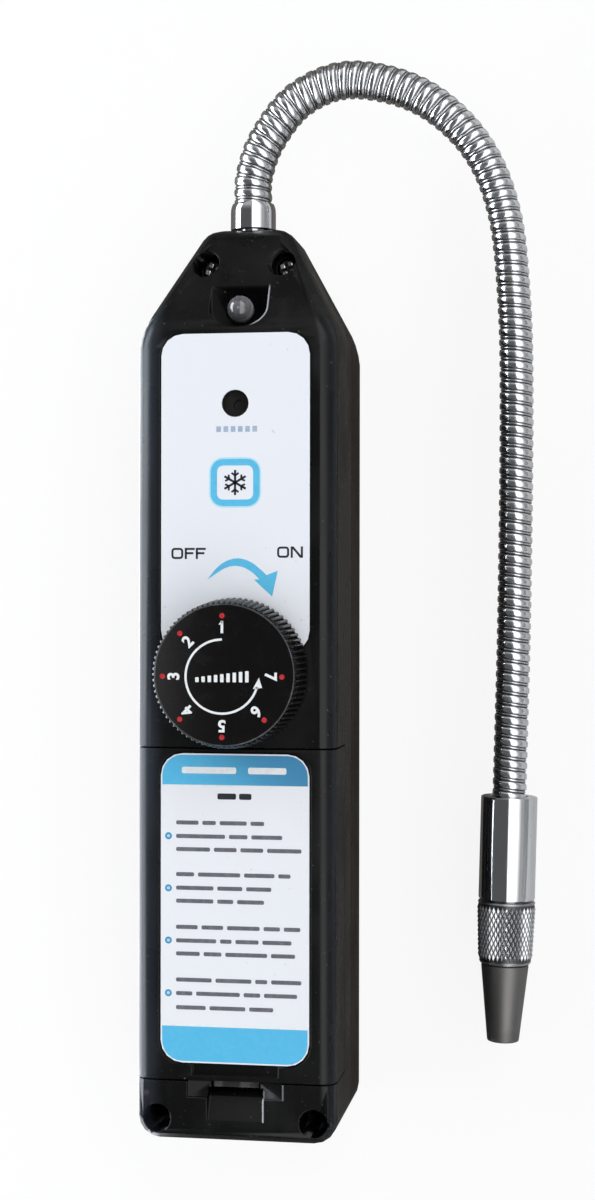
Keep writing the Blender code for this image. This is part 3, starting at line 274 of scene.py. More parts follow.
studio = {
    "floorRadius": 2.4,
    "wallHeight": 1.0,
    "corner": 0.45,
    "cornerSteps": 8,
    "rounds": 64,
    "underPart": 0.0002,
    "paleShare": 0.86,
    "tableColour": (0.86, 0.86, 0.86),
    "mirroredColour": (0.15, 0.14, 0.13),
    "mirroredUntil": (0.042, 0.054),
    "mirroredFade": 0.62,
    "skyColour": (0.985, 0.99, 1.0, 1),
    "skyDark": 0.10,
    "overheadLight": 1.85,
    "overheadFrom": (0.0, 0.10),
    "overheadUntil": (0.55, 1.05),
    "farEndLight": 0.38,
    "farEndFrom": (0.25, 0.75),
    "rightLight": 0.40,
    "rightFrom": (0.5, 1.3),
    "lampColour": (0.90, 0.95, 1.0),
}
sweep = [(0, 0), (studio["floorRadius"] - studio["corner"], 0)]
for step in range(1, studio["cornerSteps"] + 1):
    bend = pi / 2 * step / studio["cornerSteps"]
    sweep.append((studio["floorRadius"] - studio["corner"] * (1 - sin(bend)),
                  studio["corner"] * (1 - cos(bend))))
sweep.append((studio["floorRadius"], studio["wallHeight"]))
bowl = spinProfile(sweep, studio["rounds"])
bmesh.ops.reverse_faces(bowl, faces=bowl.faces)
bmesh.ops.translate(bowl, vec=(0, 0, -studio["underPart"]), verts=bowl.verts)
floorFinish = Finish("pale studio floor", {"Base Color": studio["tableColour"],
                                           "Roughness": 0.9, "Specular IOR Level": 0.0})
rays = floorFinish.node("ShaderNodeLightPath")
camRay, glossRay, clearRay = [Signal(floorFinish, rays.socket.node.outputs[name]) for name in
                              ("Is Camera Ray", "Is Glossy Ray", "Is Transmission Ray")]
floorX = floorFinish.parts(floorFinish.place())[0]
# Painted shade: seen in reflections, the floor is painted dark for the case's shadow and dim
# surroundings, and paler beyond the case's right side
reflectedFloorShade = glossRay * (1 - floorX.between(*studio["mirroredUntil"]) * studio["mirroredFade"])
floorFinish.paint(reflectedFloorShade, studio["mirroredColour"])
share = (camRay + clearRay) * studio["paleShare"]
paleGlow = floorFinish.node("ShaderNodeEmission", values={"Color": (1, 1, 1, 1), "Strength": 1.0})
floorSurface = floorFinish.node("ShaderNodeMixShader", values={
    0: share, 1: Signal(floorFinish, floorFinish.shader.outputs[0]), 2: paleGlow})
floorFinish.feed(floorFinish.nodeTree.nodes["Material Output"].inputs["Surface"], floorSurface)
studioFloor = makeObject("studio_floor", bowl, floorFinish)

world = bpy.data.worlds.new("studio light")
world.use_nodes = True
bpy.context.scene.world = world
sky = NodeTree(world.node_tree)
skyX, skyY, skyZ = sky.parts(sky.node("ShaderNodeTexCoord", output=0))
acrossAngle = sky.node("ShaderNodeMath", {"operation": "ARCTAN2"}, {0: skyX, 1: skyZ})
overhead = (acrossAngle.between(*studio["overheadFrom"])
            * (1 - acrossAngle.between(*studio["overheadUntil"])))
farEnd = skyY.between(*studio["farEndFrom"])
rightSide = acrossAngle.between(*studio["rightFrom"])
brightness = (studio["skyDark"] + overhead * studio["overheadLight"]
              + farEnd * studio["farEndLight"] + rightSide * studio["rightLight"])
background = world.node_tree.nodes["Background"]
background.inputs["Color"].default_value = studio["skyColour"]
sky.feed(background.inputs["Strength"], brightness)

# The window lights everything. The table glow only shows as a gleam on the left edges.
studioLamps = {
    "low left window": {"place": (-0.90, 0.10, 0.25), "size": (1.5, 0.46), "power": 14.0,
                        "lightsAll": True},
    "left table glow": {"place": (-0.26, -0.038, 0.004), "size": (0.46, 0.245), "power": 1.8,
                        "lightsAll": False},
}
for lampName, plan in studioLamps.items():
    lampData = bpy.data.lights.new(lampName, "AREA")
    lampData.shape = "RECTANGLE"
    lampData.size, lampData.size_y = plan["size"]
    lampData.energy = plan["power"]
    lampData.color = studio["lampColour"]
    lamp = bpy.data.objects.new(lampName, lampData)
    lamp.location = plan["place"]
    if plan["lightsAll"]:
        lamp.rotation_euler = (-Vector(plan["place"])).to_track_quat("-Z", "Y").to_euler()
    else:
        lamp.rotation_euler = (pi, 0, 0)
    lamp.visible_camera = False
    lamp.visible_diffuse = plan["lightsAll"]
    bpy.context.scene.collection.objects.link(lamp)
print("studio ready")


# Moulded plastic of the case

caseLook = {
    "grain": 3200,
    "grainDepth": 0.000012,
    "easedEdge": 0.00035,
    "dull": 0.34,
    "polished": 0.25,
    "scuffs": 0.012,
    "scuffColour": (0.30, 0.31, 0.33),
}


def mouldedPlastic(name, colour, rubbed, dull=0.0, specular=0.28):
    # Fine spark-eroded grain, cloudy handling marks and a few pale scuffs
    made = Finish(name, {"Base Color": colour, "Specular IOR Level": specular})
    clouds = made.noise(70, 4.0).between(0.38, 0.66)
    streaks = made.noise(260, 3.0, stretch=(1, 6, 1)).between(0.56, 0.74)
    specks = made.noise(1500, 1.0).between(0.74, 0.80)
    made.paint(clouds * 0.6, rubbed)
    made.paint(specks * 0.25 + streaks * clouds * caseLook["scuffs"], caseLook["scuffColour"])
    grain = made.noise(caseLook["grain"], 2.0)
    bumped = made.bump(grain + clouds * 0.15, caseLook["grainDepth"], 0.5,
                       made.eased(caseLook["easedEdge"]))
    made.wear({"Normal": bumped, "Roughness": caseLook["polished"] + dull
               + clouds * (caseLook["dull"] - caseLook["polished"]) + streaks * 0.04})
    return made


frontFinish = mouldedPlastic("satin black moulding", (0.0026, 0.0027, 0.0029),
                             (0.0046, 0.0048, 0.0052))
rearFinish = mouldedPlastic("warm black moulding", (0.0070, 0.0052, 0.0040),
                            (0.0100, 0.0076, 0.0058), dull=0.10, specular=0.25)
coverFinish = mouldedPlastic("satin black cover moulding", (0.0026, 0.0027, 0.0030),
                             (0.0048, 0.0050, 0.0055))

# The latch tab is rubbed pale by thumbs
tabPlan = {
    "halfWidth": (0.0040, 0.0045),
    "root": (-0.0768, -0.0766),
    "front": (0.0363, 0.0365),
    "colour": (0.085, 0.085, 0.088),
}
tabX, tabY, tabZ = coverFinish.parts(coverFinish.place())
tabMask = ((1 - tabX.size().between(*tabPlan["halfWidth"]))
           * (1 - tabY.between(*tabPlan["root"])) * (1 - tabZ.between(*tabPlan["front"])))
thumbMarks = coverFinish.noise(600, 4.0, stretch=(1, 2.5, 1)).between(0.45, 0.62)
coverFinish.paint(tabMask * (0.35 + thumbMarks * 0.65), tabPlan["colour"])

# Painted highlights: thin bright lines are painted along moulded edges, where a light from the
# left would pick them out.
# The scoop and the step beside the latch are each given by their right edge, their foot and their
# head.
edgePlan = {
    "pocketY": 0.0715,
    "pocketHalfWidth": 0.0056,
    "pocketDrop": 0.0040,
    "pocketTop": (0.0752, 0.0764),
    "pocketLineFrom": (0.0022, 0.0040),
    "scoop": (0.00535, -0.08415, -0.0784),
    "step": (0.0092, -0.07985, -0.0770),
    "line": 0.00026,
    "soft": 0.0001,
    "frontFace": (0.0366, 0.0372),
    "recess": (0.0366, 0.0370),
    "recessShade": 0.85,
    "colour": (0.42, 0.43, 0.45),
}
frontX, frontY, frontZ = frontFinish.parts(frontFinish.place())
below = frontFinish.node("ShaderNodeMath", {"operation": "MINIMUM"},
                         {0: frontY - edgePlan["pocketY"], 1: 0.0})
pocketReach = frontFinish.reach(frontX * (1 / edgePlan["pocketHalfWidth"]),
                                below * (1 / edgePlan["pocketDrop"]))
underTop = 1 - frontY.between(*edgePlan["pocketTop"])
paintedEdgeHighlights = (pocketReach.between(0.985, 1.0) * (1 - pocketReach.between(1.035, 1.06))
         * frontX.between(*edgePlan["pocketLineFrom"]) * underTop)
frontFace = frontZ.between(*edgePlan["frontFace"])
line, soft = edgePlan["line"], edgePlan["soft"]
for name, share in (("scoop", 1.0), ("step", 0.35)):
    right, foot, head = edgePlan[name]
    paintedEdgeHighlights = paintedEdgeHighlights + share * (
        frontX.between(right - soft / 2, right) * frontFace
        * (1 - frontX.between(right + line, right + line * 1.5))
        * frontY.between(foot - soft, foot) * (1 - frontY.between(head, head + soft)))
# The painted edge highlights are laid on here
frontFinish.paint(paintedEdgeHighlights * 0.8, edgePlan["colour"])

# The lamp pocket and the step beside the latch get a painted shade: a Metallic value on the black
# plastic darkens their reflections
inPocket = (1 - pocketReach.between(0.985, 1.01)) * underTop
right, foot, head = edgePlan["step"]
inStep = ((1 - frontX.size().between(right, right + 2 * soft))
          * frontY.between(foot - 3 * soft, foot - soft)
          * (1 - frontY.between(head, head + 2 * soft)))
frontFinish.wear({"Metallic": (inPocket + inStep) * (1 - frontZ.between(*edgePlan["recess"]))
                  * edgePlan["recessShade"]})

# The long edges are painted a little paler, the left one most: a painted sheen for light from the
# left on the rounding
edgeSheenPlan = {
    "left": (0.0136, 0.0178),
    "leftShare": 0.85,
    "right": (0.0165, 0.0190),
    "rightShare": 0.2,
    "front": (0.0270, 0.0345),
    "colour": (0.034, 0.042, 0.056),
}
for finish in (frontFinish, coverFinish):
    sideX, _, sideZ = finish.parts(finish.place())
    sheenStreaks = finish.noise(120, 4.0, stretch=(1, 5, 1)).between(0.30, 0.62)
    paintedSheen = ((sideX * -1).between(*edgeSheenPlan["left"]) * edgeSheenPlan["leftShare"]
               + sideX.between(*edgeSheenPlan["right"]) * edgeSheenPlan["rightShare"])
    finish.paint(paintedSheen * sideZ.between(*edgeSheenPlan["front"]) * (0.55 + sheenStreaks * 0.45),
                 edgeSheenPlan["colour"])

smoothCopy("front_shell", frontFinish, "case")
smoothCopy("rear_shell", rearFinish, "case")
smoothCopy("battery_cover", coverFinish, "cover")
print("case dressed")

# Labels: printed film with a soft sheen, and their print as thin ink

labelPlan = {
    "top": 0.03805,
    "inkThickness": 0.000012,
    "halfWidth": 0.0144,
    "lower": (-0.07325, -0.01405),
}


def printedFilm(name, colour, shade):
    film = Finish(name, {"Base Color": colour, "Coat Roughness": 0.12,
                         "Specular IOR Level": 0.45})
    drift = film.noise(38, 2.0).between(0.3, 0.7)
    fibres = film.noise(2600, 3.0)
    dust = film.noise(900, 1.0).between(0.77, 0.80)
    film.paint(drift * 0.35 + fibres * 0.12, shade)
    film.paint(dust * 0.4, (0.45, 0.46, 0.48))
    film.wear({"Roughness": 0.34 + drift * 0.08, "Coat Weight": 0.25 - drift * 0.1,
               "Normal": film.bump(fibres, 0.000004, 0.4)})
    return film


def ink(name, colour, faded):
    # Screen-printed ink, a little uneven
    made = Finish(name, {"Base Color": colour})
    patchy = made.noise(1300, 3.0).between(0.35, 0.75)
    made.paint(patchy, faded)
    made.wear({"Roughness": 0.42 + patchy * 0.08,
               "Normal": made.bump(patchy, 0.000003, 0.3)})
    return made


upperFilm = printedFilm("pale lilac film", (0.800, 0.820, 0.865), (0.765, 0.785, 0.840))
lowerFilm = printedFilm("pale film", (0.800, 0.815, 0.850), (0.765, 0.780, 0.825))
coat(upperFilm, "upper_label")
coat(lowerFilm, "lower_label")

skyInk = ink("sky-blue ink", (0.085, 0.470, 0.735), (0.105, 0.500, 0.760))
deepSkyInk = ink("deep sky-blue ink", (0.045, 0.290, 0.520), (0.060, 0.320, 0.550))
paleSkyInk = ink("pale sky-blue ink", (0.420, 0.720, 0.850), (0.460, 0.740, 0.860))
darkInk = ink("blue-black ink", (0.010, 0.011, 0.020), (0.018, 0.019, 0.030))
greyInk = ink("grey ink", (0.105, 0.110, 0.130), (0.150, 0.155, 0.180))
faintInk = ink("faint blue ink", (0.330, 0.420, 0.560), (0.400, 0.480, 0.610))
whiteInk = ink("white ink", (0.800, 0.820, 0.830), (0.720, 0.740, 0.750))
redInk = ink("red ink", (0.420, 0.010, 0.016), (0.560, 0.020, 0.026))


def pour(small, bm, matrix):
    # Puts a small form into a larger mesh
    bmesh.ops.transform(small, matrix=matrix, verts=small.verts)
    bmesh.ops.recalc_face_normals(small, faces=small.faces)
    mesh = bpy.data.meshes.new("pour")
    small.to_mesh(mesh)
    small.free()
    bm.from_mesh(mesh)
    bpy.data.meshes.remove(mesh)


def thicken(small):
    raised = bmesh.ops.extrude_face_region(small, geom=small.faces[:])["geom"]
    bmesh.ops.translate(small, vec=(0, 0, labelPlan["inkThickness"]),
                        verts=[item for item in raised if isinstance(item, bmesh.types.BMVert)])


def onLabel(x, y, turn=0.0, height=None):
    # Where flat print goes: its place, its turn and the face that it is printed on
    height = labelPlan["top"] if height is None else height
    return Matrix.Translation((x, y, height)) @ Matrix.Rotation(turn, 4, "Z")


def bar(bm, width, height, matrix, corner=0.0, stroke=0.0, keepAbove=None, keepBelow=None):
    # A printed bar with round corners, or its outline where a stroke is given
    small = bmesh.new()
    bmesh.ops.create_grid(small, x_segments=1, y_segments=1, size=0.5)
    bmesh.ops.scale(small, vec=(width, height, 1), verts=small.verts)
    if corner:
        bmesh.ops.bevel(small, geom=small.verts[:], offset=corner, segments=6, profile=0.5,
                        affect="VERTICES", material=-1)
    for level, side in ((keepAbove, -1), (keepBelow, 1)):
        if level is not None:
            bmesh.ops.bisect_plane(small, geom=small.verts[:] + small.edges[:] + small.faces[:],
                                   plane_co=(0, level, 0), plane_no=(0, side, 0),
                                   clear_outer=True)
    if stroke:
        inner = small.faces[:]
        bmesh.ops.inset_region(small, faces=inner, thickness=stroke, use_boundary=True)
        bmesh.ops.delete(small, geom=inner, context="FACES")
    thicken(small)
    pour(small, bm, matrix)


def patch(bm, points, matrix):
    # A flat printed shape with the given outline
    small = bmesh.new()
    small.faces.new([small.verts.new((x, y, 0)) for x, y in points])
    thicken(small)
    pour(small, bm, matrix)


def figure(bm, words, size, bold, matrix):
    # Generic figures, made bold, centred and pressed flat before they are placed
    curve = bpy.data.curves.new("figure", "FONT")
    curve.body = words
    curve.size = size
    curve.bevel_depth = bold
    curve.bevel_resolution = 0
    curve.align_x = curve.align_y = "CENTER"
    holder = bpy.data.objects.new("figure", curve)
    bpy.context.scene.collection.objects.link(holder)
    bpy.context.view_layer.update()
    flat = bpy.data.meshes.new_from_object(
        holder.evaluated_get(bpy.context.evaluated_depsgraph_get()))
    bpy.data.objects.remove(holder, do_unlink=True)
    small = bmesh.new()
    small.from_mesh(flat)
    bmesh.ops.remove_doubles(small, verts=small.verts, dist=size / 1000)
    middle = [sum(ends(vertex.co[axis] for vertex in small.verts) for ends in (min, max)) / 2
              for axis in range(2)]
    bmesh.ops.translate(small, vec=(-middle[0], -middle[1], 0), verts=small.verts)
    thickness = labelPlan["inkThickness"]
    bmesh.ops.scale(small, vec=(1, 1, thickness / (2 * bold)), verts=small.verts)
    bmesh.ops.translate(small, vec=(0, 0, thickness / 2), verts=small.verts)
    pour(small, bm, matrix)


def runLength(run):
    return sum((end - start).length for start, end in zip(run, run[1:]))


def smoothRun(points, step, parts=40):
    # Points one step apart on a smooth curve through a few given ones
    fine = []
    padded = [2 * points[0] - points[1]] + points + [2 * points[-1] - points[-2]]
    for before, start, end, after in zip(padded, padded[1:], padded[2:], padded[3:]):
        for part in range(parts):
            t = part / parts
            fine.append(0.5 * (2 * start + (end - before) * t
                               + (2 * before - 5 * start + 4 * end - after) * t ** 2
                               + (3 * start - before - 3 * end + after) * t ** 3))
    fine.append(points[-1].copy())
    whole = runLength(fine)
    count = round(whole / step)
    return [alongRun(fine, whole * index / count) for index in range(count + 1)]


def alongRun(run, distance):
    # The point at a distance along a run of points, carried on straight past its ends
    for start, end in zip(run, run[1:]):
        length = (end - start).length
        if distance <= length:
            return start + (end - start) * (distance / length)
        distance -= length
    return run[-1] + (run[-1] - run[-2]).normalized() * distance


# Upper label: the words OFF and ON, a curved arrow between them and a snowflake sign

wordPlan = {
    "height": 0.00214,
    "stroke": 0.00041,
    "off": (-0.0124, 0.02420),
    "on": (0.00815, 0.02440),
    "letterO": 0.00232,
    "letterF": 0.00195,
    "letterN": 0.00235,
    "space": 0.00030,
}


def letterO(bm, x, y):
    width, height = wordPlan["letterO"], wordPlan["height"]
    bar(bm, width, height, onLabel(x + width / 2, y), corner=0.00065, stroke=wordPlan["stroke"])
    return x + width + wordPlan["space"]


def letterF(bm, x, y):
    width, height, stroke = wordPlan["letterF"], wordPlan["height"], wordPlan["stroke"]
    bar(bm, stroke, height, onLabel(x + stroke / 2, y))
    bar(bm, width, stroke, onLabel(x + width / 2, y + (height - stroke) / 2), corner=0.0001)
    bar(bm, width * 0.86, stroke, onLabel(x + width * 0.43, y + height * 0.02))
    return x + width + wordPlan["space"] * 0.7


def letterN(bm, x, y):
    width, height, stroke = wordPlan["letterN"], wordPlan["height"], wordPlan["stroke"]
    for side in (stroke / 2, width - stroke / 2):
        bar(bm, stroke, height, onLabel(x + side, y))
    patch(bm, [(0, height / 2), (stroke * 1.35, height / 2), (width, -height / 2),
               (width - stroke * 1.35, -height / 2)], onLabel(x, y))
    return x + width


words = bmesh.new()
x, y = wordPlan["off"]
x = letterO(words, x, y)
x = letterF(words, x, y)
letterF(words, x, y)
x, y = wordPlan["on"]
letterN(words, letterO(words, x, y), y)
finishPiece("off_and_on_words", words, darkInk, "case")

arrowPlan = {
    "outerEdge": [(-5.38, 19.20), (-3.62, 21.34), (-1.71, 22.74), (0.67, 23.25), (3.05, 22.55),
                  (4.95, 21.12), (6.10, 20.05)],
    "head": [(8.29, 20.87), (7.19, 15.96), (3.67, 19.20)],
    "innerEdge": [(4.75, 19.25), (3.29, 20.60), (1.62, 21.52), (-0.29, 21.80), (-2.19, 21.25),
                  (-4.10, 20.05), (-5.38, 19.20)],
    "outline": 0.00016,
    "step": 0.0004,
}
outer, head, inner = [[Vector((x / 1000, y / 1000, 0)) for x, y in arrowPlan[name]]
                      for name in ("outerEdge", "head", "innerEdge")]
outline = smoothRun(outer, arrowPlan["step"]) + head + smoothRun(inner, arrowPlan["step"])[:-1]
small = bmesh.new()
small.faces.new([small.verts.new(point) for point in outline])
bmesh.ops.inset_region(small, faces=small.faces[:], thickness=arrowPlan["outline"],
                       use_boundary=True)
for face in small.faces:
    if len(face.verts) == 4:
        face.material_index = 1
thicken(small)
arrow = bmesh.new()
pour(small, arrow, onLabel(0, 0))
arrowPiece = finishPiece("curved_arrow_print", arrow, skyInk, "case")
arrowPiece.data.materials.append(deepSkyInk.material)

signPlan = {
    "place": (0.0, 0.0377),
    "size": (0.0095, 0.0090),
    "corner": 0.0024,
    "stroke": 0.00125,
    "armLength": 0.0024,
    "armWidth": 0.00044,
    "twigLength": 0.00085,
    "twigAt": 0.56,
    "twigDegrees": 55,
    "halo": 0.0006,
    "haloStroke": 0.0004,
    "faintBar": (0.0009, 0.0011),
    "faintPlace": (-0.0032, 0.0479),
    "faintPitch": 0.0014,
    "soft": 0.0001,
}
plan = signPlan
width, height = plan["size"]
signRing = bmesh.new()
bar(signRing, width, height, onLabel(*plan["place"]), plan["corner"], plan["stroke"])
finishPiece("sign_ring_print", signRing, skyInk, "case")
halo = bmesh.new()
bar(halo, width + plan["halo"], height + plan["halo"],
    onLabel(*plan["place"], height=labelPlan["top"] - labelPlan["inkThickness"] / 2),
    plan["corner"] + plan["halo"] / 2, plan["haloStroke"])
finishPiece("sign_halo_print", halo, paleSkyInk, "case")

flake = bmesh.new()
for arm in range(6):
    turned = onLabel(*plan["place"]) @ Matrix.Rotation(radians(60 * arm + 30), 4, "Z")
    bar(flake, plan["armLength"], plan["armWidth"],
        turned @ Matrix.Translation((plan["armLength"] / 2, 0, 0)), plan["soft"])
    for lean in (-plan["twigDegrees"], plan["twigDegrees"]):
        bar(flake, plan["twigLength"], plan["armWidth"] * 0.85,
            turned @ Matrix.Translation((plan["armLength"] * plan["twigAt"], 0, 0))
            @ Matrix.Rotation(radians(lean), 4, "Z")
            @ Matrix.Translation((plan["twigLength"] / 2, 0, 0)), plan["soft"])
finishPiece("snowflake_print", flake, darkInk, "case")

faintBar = bmesh.new()
x, y = plan["faintPlace"]
for part in range(6):
    bar(faintBar, *plan["faintBar"], onLabel(x + plan["faintPitch"] * part, y), plan["soft"])
finishPiece("faint_bar_print", faintBar, faintInk, "case")
print("upper label printed")

# Lower label: sky-blue fields, ring bullets, and plain bars where the reading matter stands

# Each row has its height up the label, its right end and the shares of its bars
cardPlan = {
    "fieldInset": 0.00028,
    "fieldCorner": 0.0039,
    "lineHeight": 0.0003,
    "lineGap": 0.00016,
    "headerFoot": -0.02004,
    "footerTop": -0.0663,
    "titleBars": [(-0.0050, 0.0106), (0.0063, 0.0074)],
    "titleY": -0.01725,
    "titleHeight": 0.00125,
    "boldBars": [(-0.00155, 0.0036), (0.00205, 0.0024)],
    "boldY": -0.0222,
    "boldHeight": 0.00115,
    "boldCorner": 0.0003,
    "rowLeft": -0.0114,
    "rowHeight": 0.00078,
    "rows": [(-0.0273, 0.0057, (5, 3, 6, 3)), (-0.0299, 0.0092, (8, 3, 5)),
             (-0.0324, 0.0129, (6, 4, 4, 6)), (-0.0372, 0.0108, (3, 7, 5, 2)),
             (-0.0398, 0.0071, (6, 4, 4)), (-0.0423, 0.0057, (7, 3, 5)),
             (-0.0473, 0.0127, (4, 4, 6, 3, 3)), (-0.0499, 0.0110, (7, 2, 4, 5)),
             (-0.0524, 0.0117, (4, 3, 7, 4)), (-0.0574, 0.0129, (6, 6, 2, 5)),
             (-0.0600, 0.0121, (3, 8, 3, 6)), (-0.0627, 0.0075, (5, 6, 4))],
    "wordSpace": 0.00075,
    "bulletX": -0.0129,
    "bulletYs": [-0.0299, -0.0399, -0.0499, -0.0600],
    "bulletRadius": 0.00068,
}
low, high = labelPlan["lower"]
fieldWidth = 2 * labelPlan["halfWidth"] - 2 * cardPlan["fieldInset"]
fieldHeight = high - low - 2 * cardPlan["fieldInset"]
fieldMiddle = (low + high) / 2
fields = bmesh.new()
for level, side in (("headerFoot", "keepAbove"), ("footerTop", "keepBelow")):
    bar(fields, fieldWidth, fieldHeight, onLabel(0, fieldMiddle), cardPlan["fieldCorner"],
        **{side: cardPlan[level] - fieldMiddle})
fieldInk = ink("shaded sky-blue ink", (0.080, 0.455, 0.735), (0.095, 0.480, 0.755))
fieldX, fieldY = fieldInk.parts(fieldInk.place())[:2]
headerShade = (fieldX + fieldY * 0.8).between(-0.026, 0.000) * fieldY.between(-0.03, -0.02)
fieldInk.paint(headerShade, (0.042, 0.225, 0.420))
finishPiece("blue_fields_print", fields, fieldInk, "cover")

inkOver = labelPlan["top"] + labelPlan["inkThickness"]
title = bmesh.new()
for x, width in cardPlan["titleBars"]:
    bar(title, width, cardPlan["titleHeight"], onLabel(x, cardPlan["titleY"], height=inkOver),
        cardPlan["titleHeight"] * 0.3)
for level, gap in (("headerFoot", -cardPlan["lineGap"]), ("footerTop", cardPlan["lineGap"])):
    bar(title, fieldWidth, cardPlan["lineHeight"], onLabel(0, cardPlan[level] + gap))
finishPiece("title_bars_print", title, whiteInk, "cover")

boldBars = bmesh.new()
for x, width in cardPlan["boldBars"]:
    bar(boldBars, width, cardPlan["boldHeight"], onLabel(x, cardPlan["boldY"]),
        cardPlan["boldCorner"])
finishPiece("bold_bars_print", boldBars, darkInk, "cover")

rows = bmesh.new()
for y, end, shares in cardPlan["rows"]:
    x = cardPlan["rowLeft"]
    unit = (end - x - cardPlan["wordSpace"] * (len(shares) - 1)) / sum(shares)
    for part in shares:
        bar(rows, part * unit, cardPlan["rowHeight"], onLabel(x + part * unit / 2, y),
            corner=cardPlan["rowHeight"] * 0.35)
        x += part * unit + cardPlan["wordSpace"]
finishPiece("row_bars_print", rows, greyInk, "cover")

bullets, dots = bmesh.new(), bmesh.new()
size = 2 * cardPlan["bulletRadius"]
for y in cardPlan["bulletYs"]:
    spot = onLabel(cardPlan["bulletX"], y)
    bar(bullets, size, size, spot, size * 0.499, size * 0.28)
    bar(dots, size / 2, size / 2, spot, size * 0.249)
finishPiece("bullet_rings_print", bullets, deepSkyInk, "cover")
finishPiece("bullet_middles_print", dots, paleSkyInk, "cover")
print("lower label printed")

# Sensitivity knob: upright ribs round its side, a thin rim with a painted highlight, white figures
# and red dots

knobPlan = {
    "place": (0.0, 0.0014),
    "base": 0.03835,
    "top": 0.048735,
    "baseRadius": 0.0144,
    "ribTopRadius": 0.01372,
    "faceRadius": 0.0132,
    "faceSunk": 0.00004,
    "printShift": (-0.0004, -0.0003),
    "ribs": 80,
    "ribDepth": 0.00080,
    "printedRadius": 0.0092,
    "dotRadius": 0.0113,
    "dotSize": 0.0010,
    "figureSize": 0.00305,
    "figureBold": 0.00010,
    "arcRadius": 0.00688,
    "arcWidth": 0.00042,
    "levelBars": 9,
    "levelPitch": 0.00118,
    "levelWidth": 0.00066,
    "levelHeights": (0.0009, 0.0021),
}


def growRing(bm, face, radius, height, ribShare):
    # Raises the knob's top face by one step and draws its outline to a new radius, ribs included
    raised = bmesh.ops.extrude_face_region(bm, geom=[face, *face.edges, *face.verts])["geom"]
    top = [item for item in raised if isinstance(item, bmesh.types.BMFace)][0]
    for vertex in top.verts:
        angle = atan2(vertex.co.y, vertex.co.x)
        dip = (0.5 - 0.5 * cos(angle * knobPlan["ribs"])) ** 1.6
        reach = radius - knobPlan["ribDepth"] * ribShare * dip
        vertex.co = (reach * cos(angle), reach * sin(angle), height)
    return top


plan = knobPlan
knob = bmesh.new()
bmesh.ops.create_circle(knob, cap_ends=True, segments=8 * plan["ribs"], radius=0.013)
knob.faces.ensure_lookup_table()
face = knob.faces[0]
tall = plan["top"] - plan["base"]
for radius, height, ribShare in (
        (plan["baseRadius"] - 0.0001, 0.0, 0.4), (plan["baseRadius"], 0.00015, 1.0),
        (plan["ribTopRadius"] + 0.00002, tall - 0.00055, 1.0),
        (plan["ribTopRadius"] - 0.00015, tall - 0.00030, 0.75),
        (plan["faceRadius"] + 0.00012, tall - 0.00006, 0.05),
        (plan["faceRadius"], tall, 0.0), (plan["faceRadius"] - 0.00010, tall, 0.0),
        (plan["faceRadius"] - 0.00022, tall - plan["faceSunk"], 0.0)):
    face = growRing(knob, face, radius, height, ribShare)
bmesh.ops.recalc_face_normals(knob, faces=knob.faces)
stand(knob, (*plan["place"], plan["base"]))

knobFinish = Finish("satin black knob moulding", {"Base Color": (0.0036, 0.0033, 0.0031),
                                                  "Specular IOR Level": 0.26})
knobReach = knobFinish.reach(*knobFinish.parts(knobFinish.place(centre=(*plan["place"], 0)))[:2])
knobRimHighlight = knobReach.between(0.01300, 0.01306) * (1 - knobReach.between(0.01322, 0.01330))
knobWearAndSheen = knobFinish.noise(340, 4.0).between(0.46, 0.66)
knobGrain = knobFinish.noise(3600, 2.0)
# Painted highlight on the thin rim round the face, made uneven by the wear noise, which also
# varies the roughness
knobFinish.paint(knobRimHighlight * (0.45 + knobWearAndSheen * 0.4), (0.110, 0.113, 0.118))
knobFinish.wear({
    "Roughness": 0.24 + knobWearAndSheen * 0.05,
    "Normal": knobFinish.bump(knobGrain, 0.000010, 0.5, knobFinish.eased(0.00012))})
finishPiece("sensitivity_knob_skin", knob, knobFinish, "knob",
            ["sensitivity_knob"], sharp=40)

inkHeight = plan["top"] - plan["faceSunk"]


def onKnob(radius, degrees, turn=0.0):
    angle = radians(degrees)
    shift = knobPlan["printShift"]
    return onLabel(knobPlan["place"][0] + shift[0] + radius * cos(angle),
                   knobPlan["place"][1] + shift[1] + radius * sin(angle),
                   radians(turn), inkHeight)


figures, redDots = bmesh.new(), bmesh.new()
for number in range(1, 8):
    degrees = 45 + 45 * number
    figure(figures, str(number), plan["figureSize"],
           plan["figureBold"], onKnob(plan["printedRadius"], degrees, degrees - 90))
    if number == 1:
        patch(figures, [(-0.00062, 0.00052), (-0.00040, 0.00042), (0.00018, 0.00086),
                        (0.00018, 0.00112), (-0.00008, 0.00112)],
              onKnob(plan["printedRadius"], degrees))
    bar(redDots, plan["dotSize"], plan["dotSize"], onKnob(plan["dotRadius"], degrees),
        corner=plan["dotSize"] * 0.499)
finishPiece("knob_figures_print", figures, whiteInk, "knob")
finishPiece("knob_dots_print", redDots, redInk, "knob")

sweepArrow = bmesh.new()
small = bmesh.new()
inner, outer = [small.verts.new((0, plan["arcRadius"] + side * plan["arcWidth"] / 2, 0))
                for side in (-1, 1)]
bmesh.ops.spin(small, geom=[inner, outer, small.edges.new((inner, outer))], cent=(0, 0, 0),
               axis=(0, 0, 1), angle=radians(254), steps=72, use_merge=False)
thicken(small)
pour(small, sweepArrow, onKnob(0, 0))
patch(sweepArrow, [(0.00700, -0.00015), (0.00585, -0.00225), (0.00760, -0.00205)], onKnob(0, 0))
finishPiece("knob_arrow_print", sweepArrow, whiteInk, "knob")

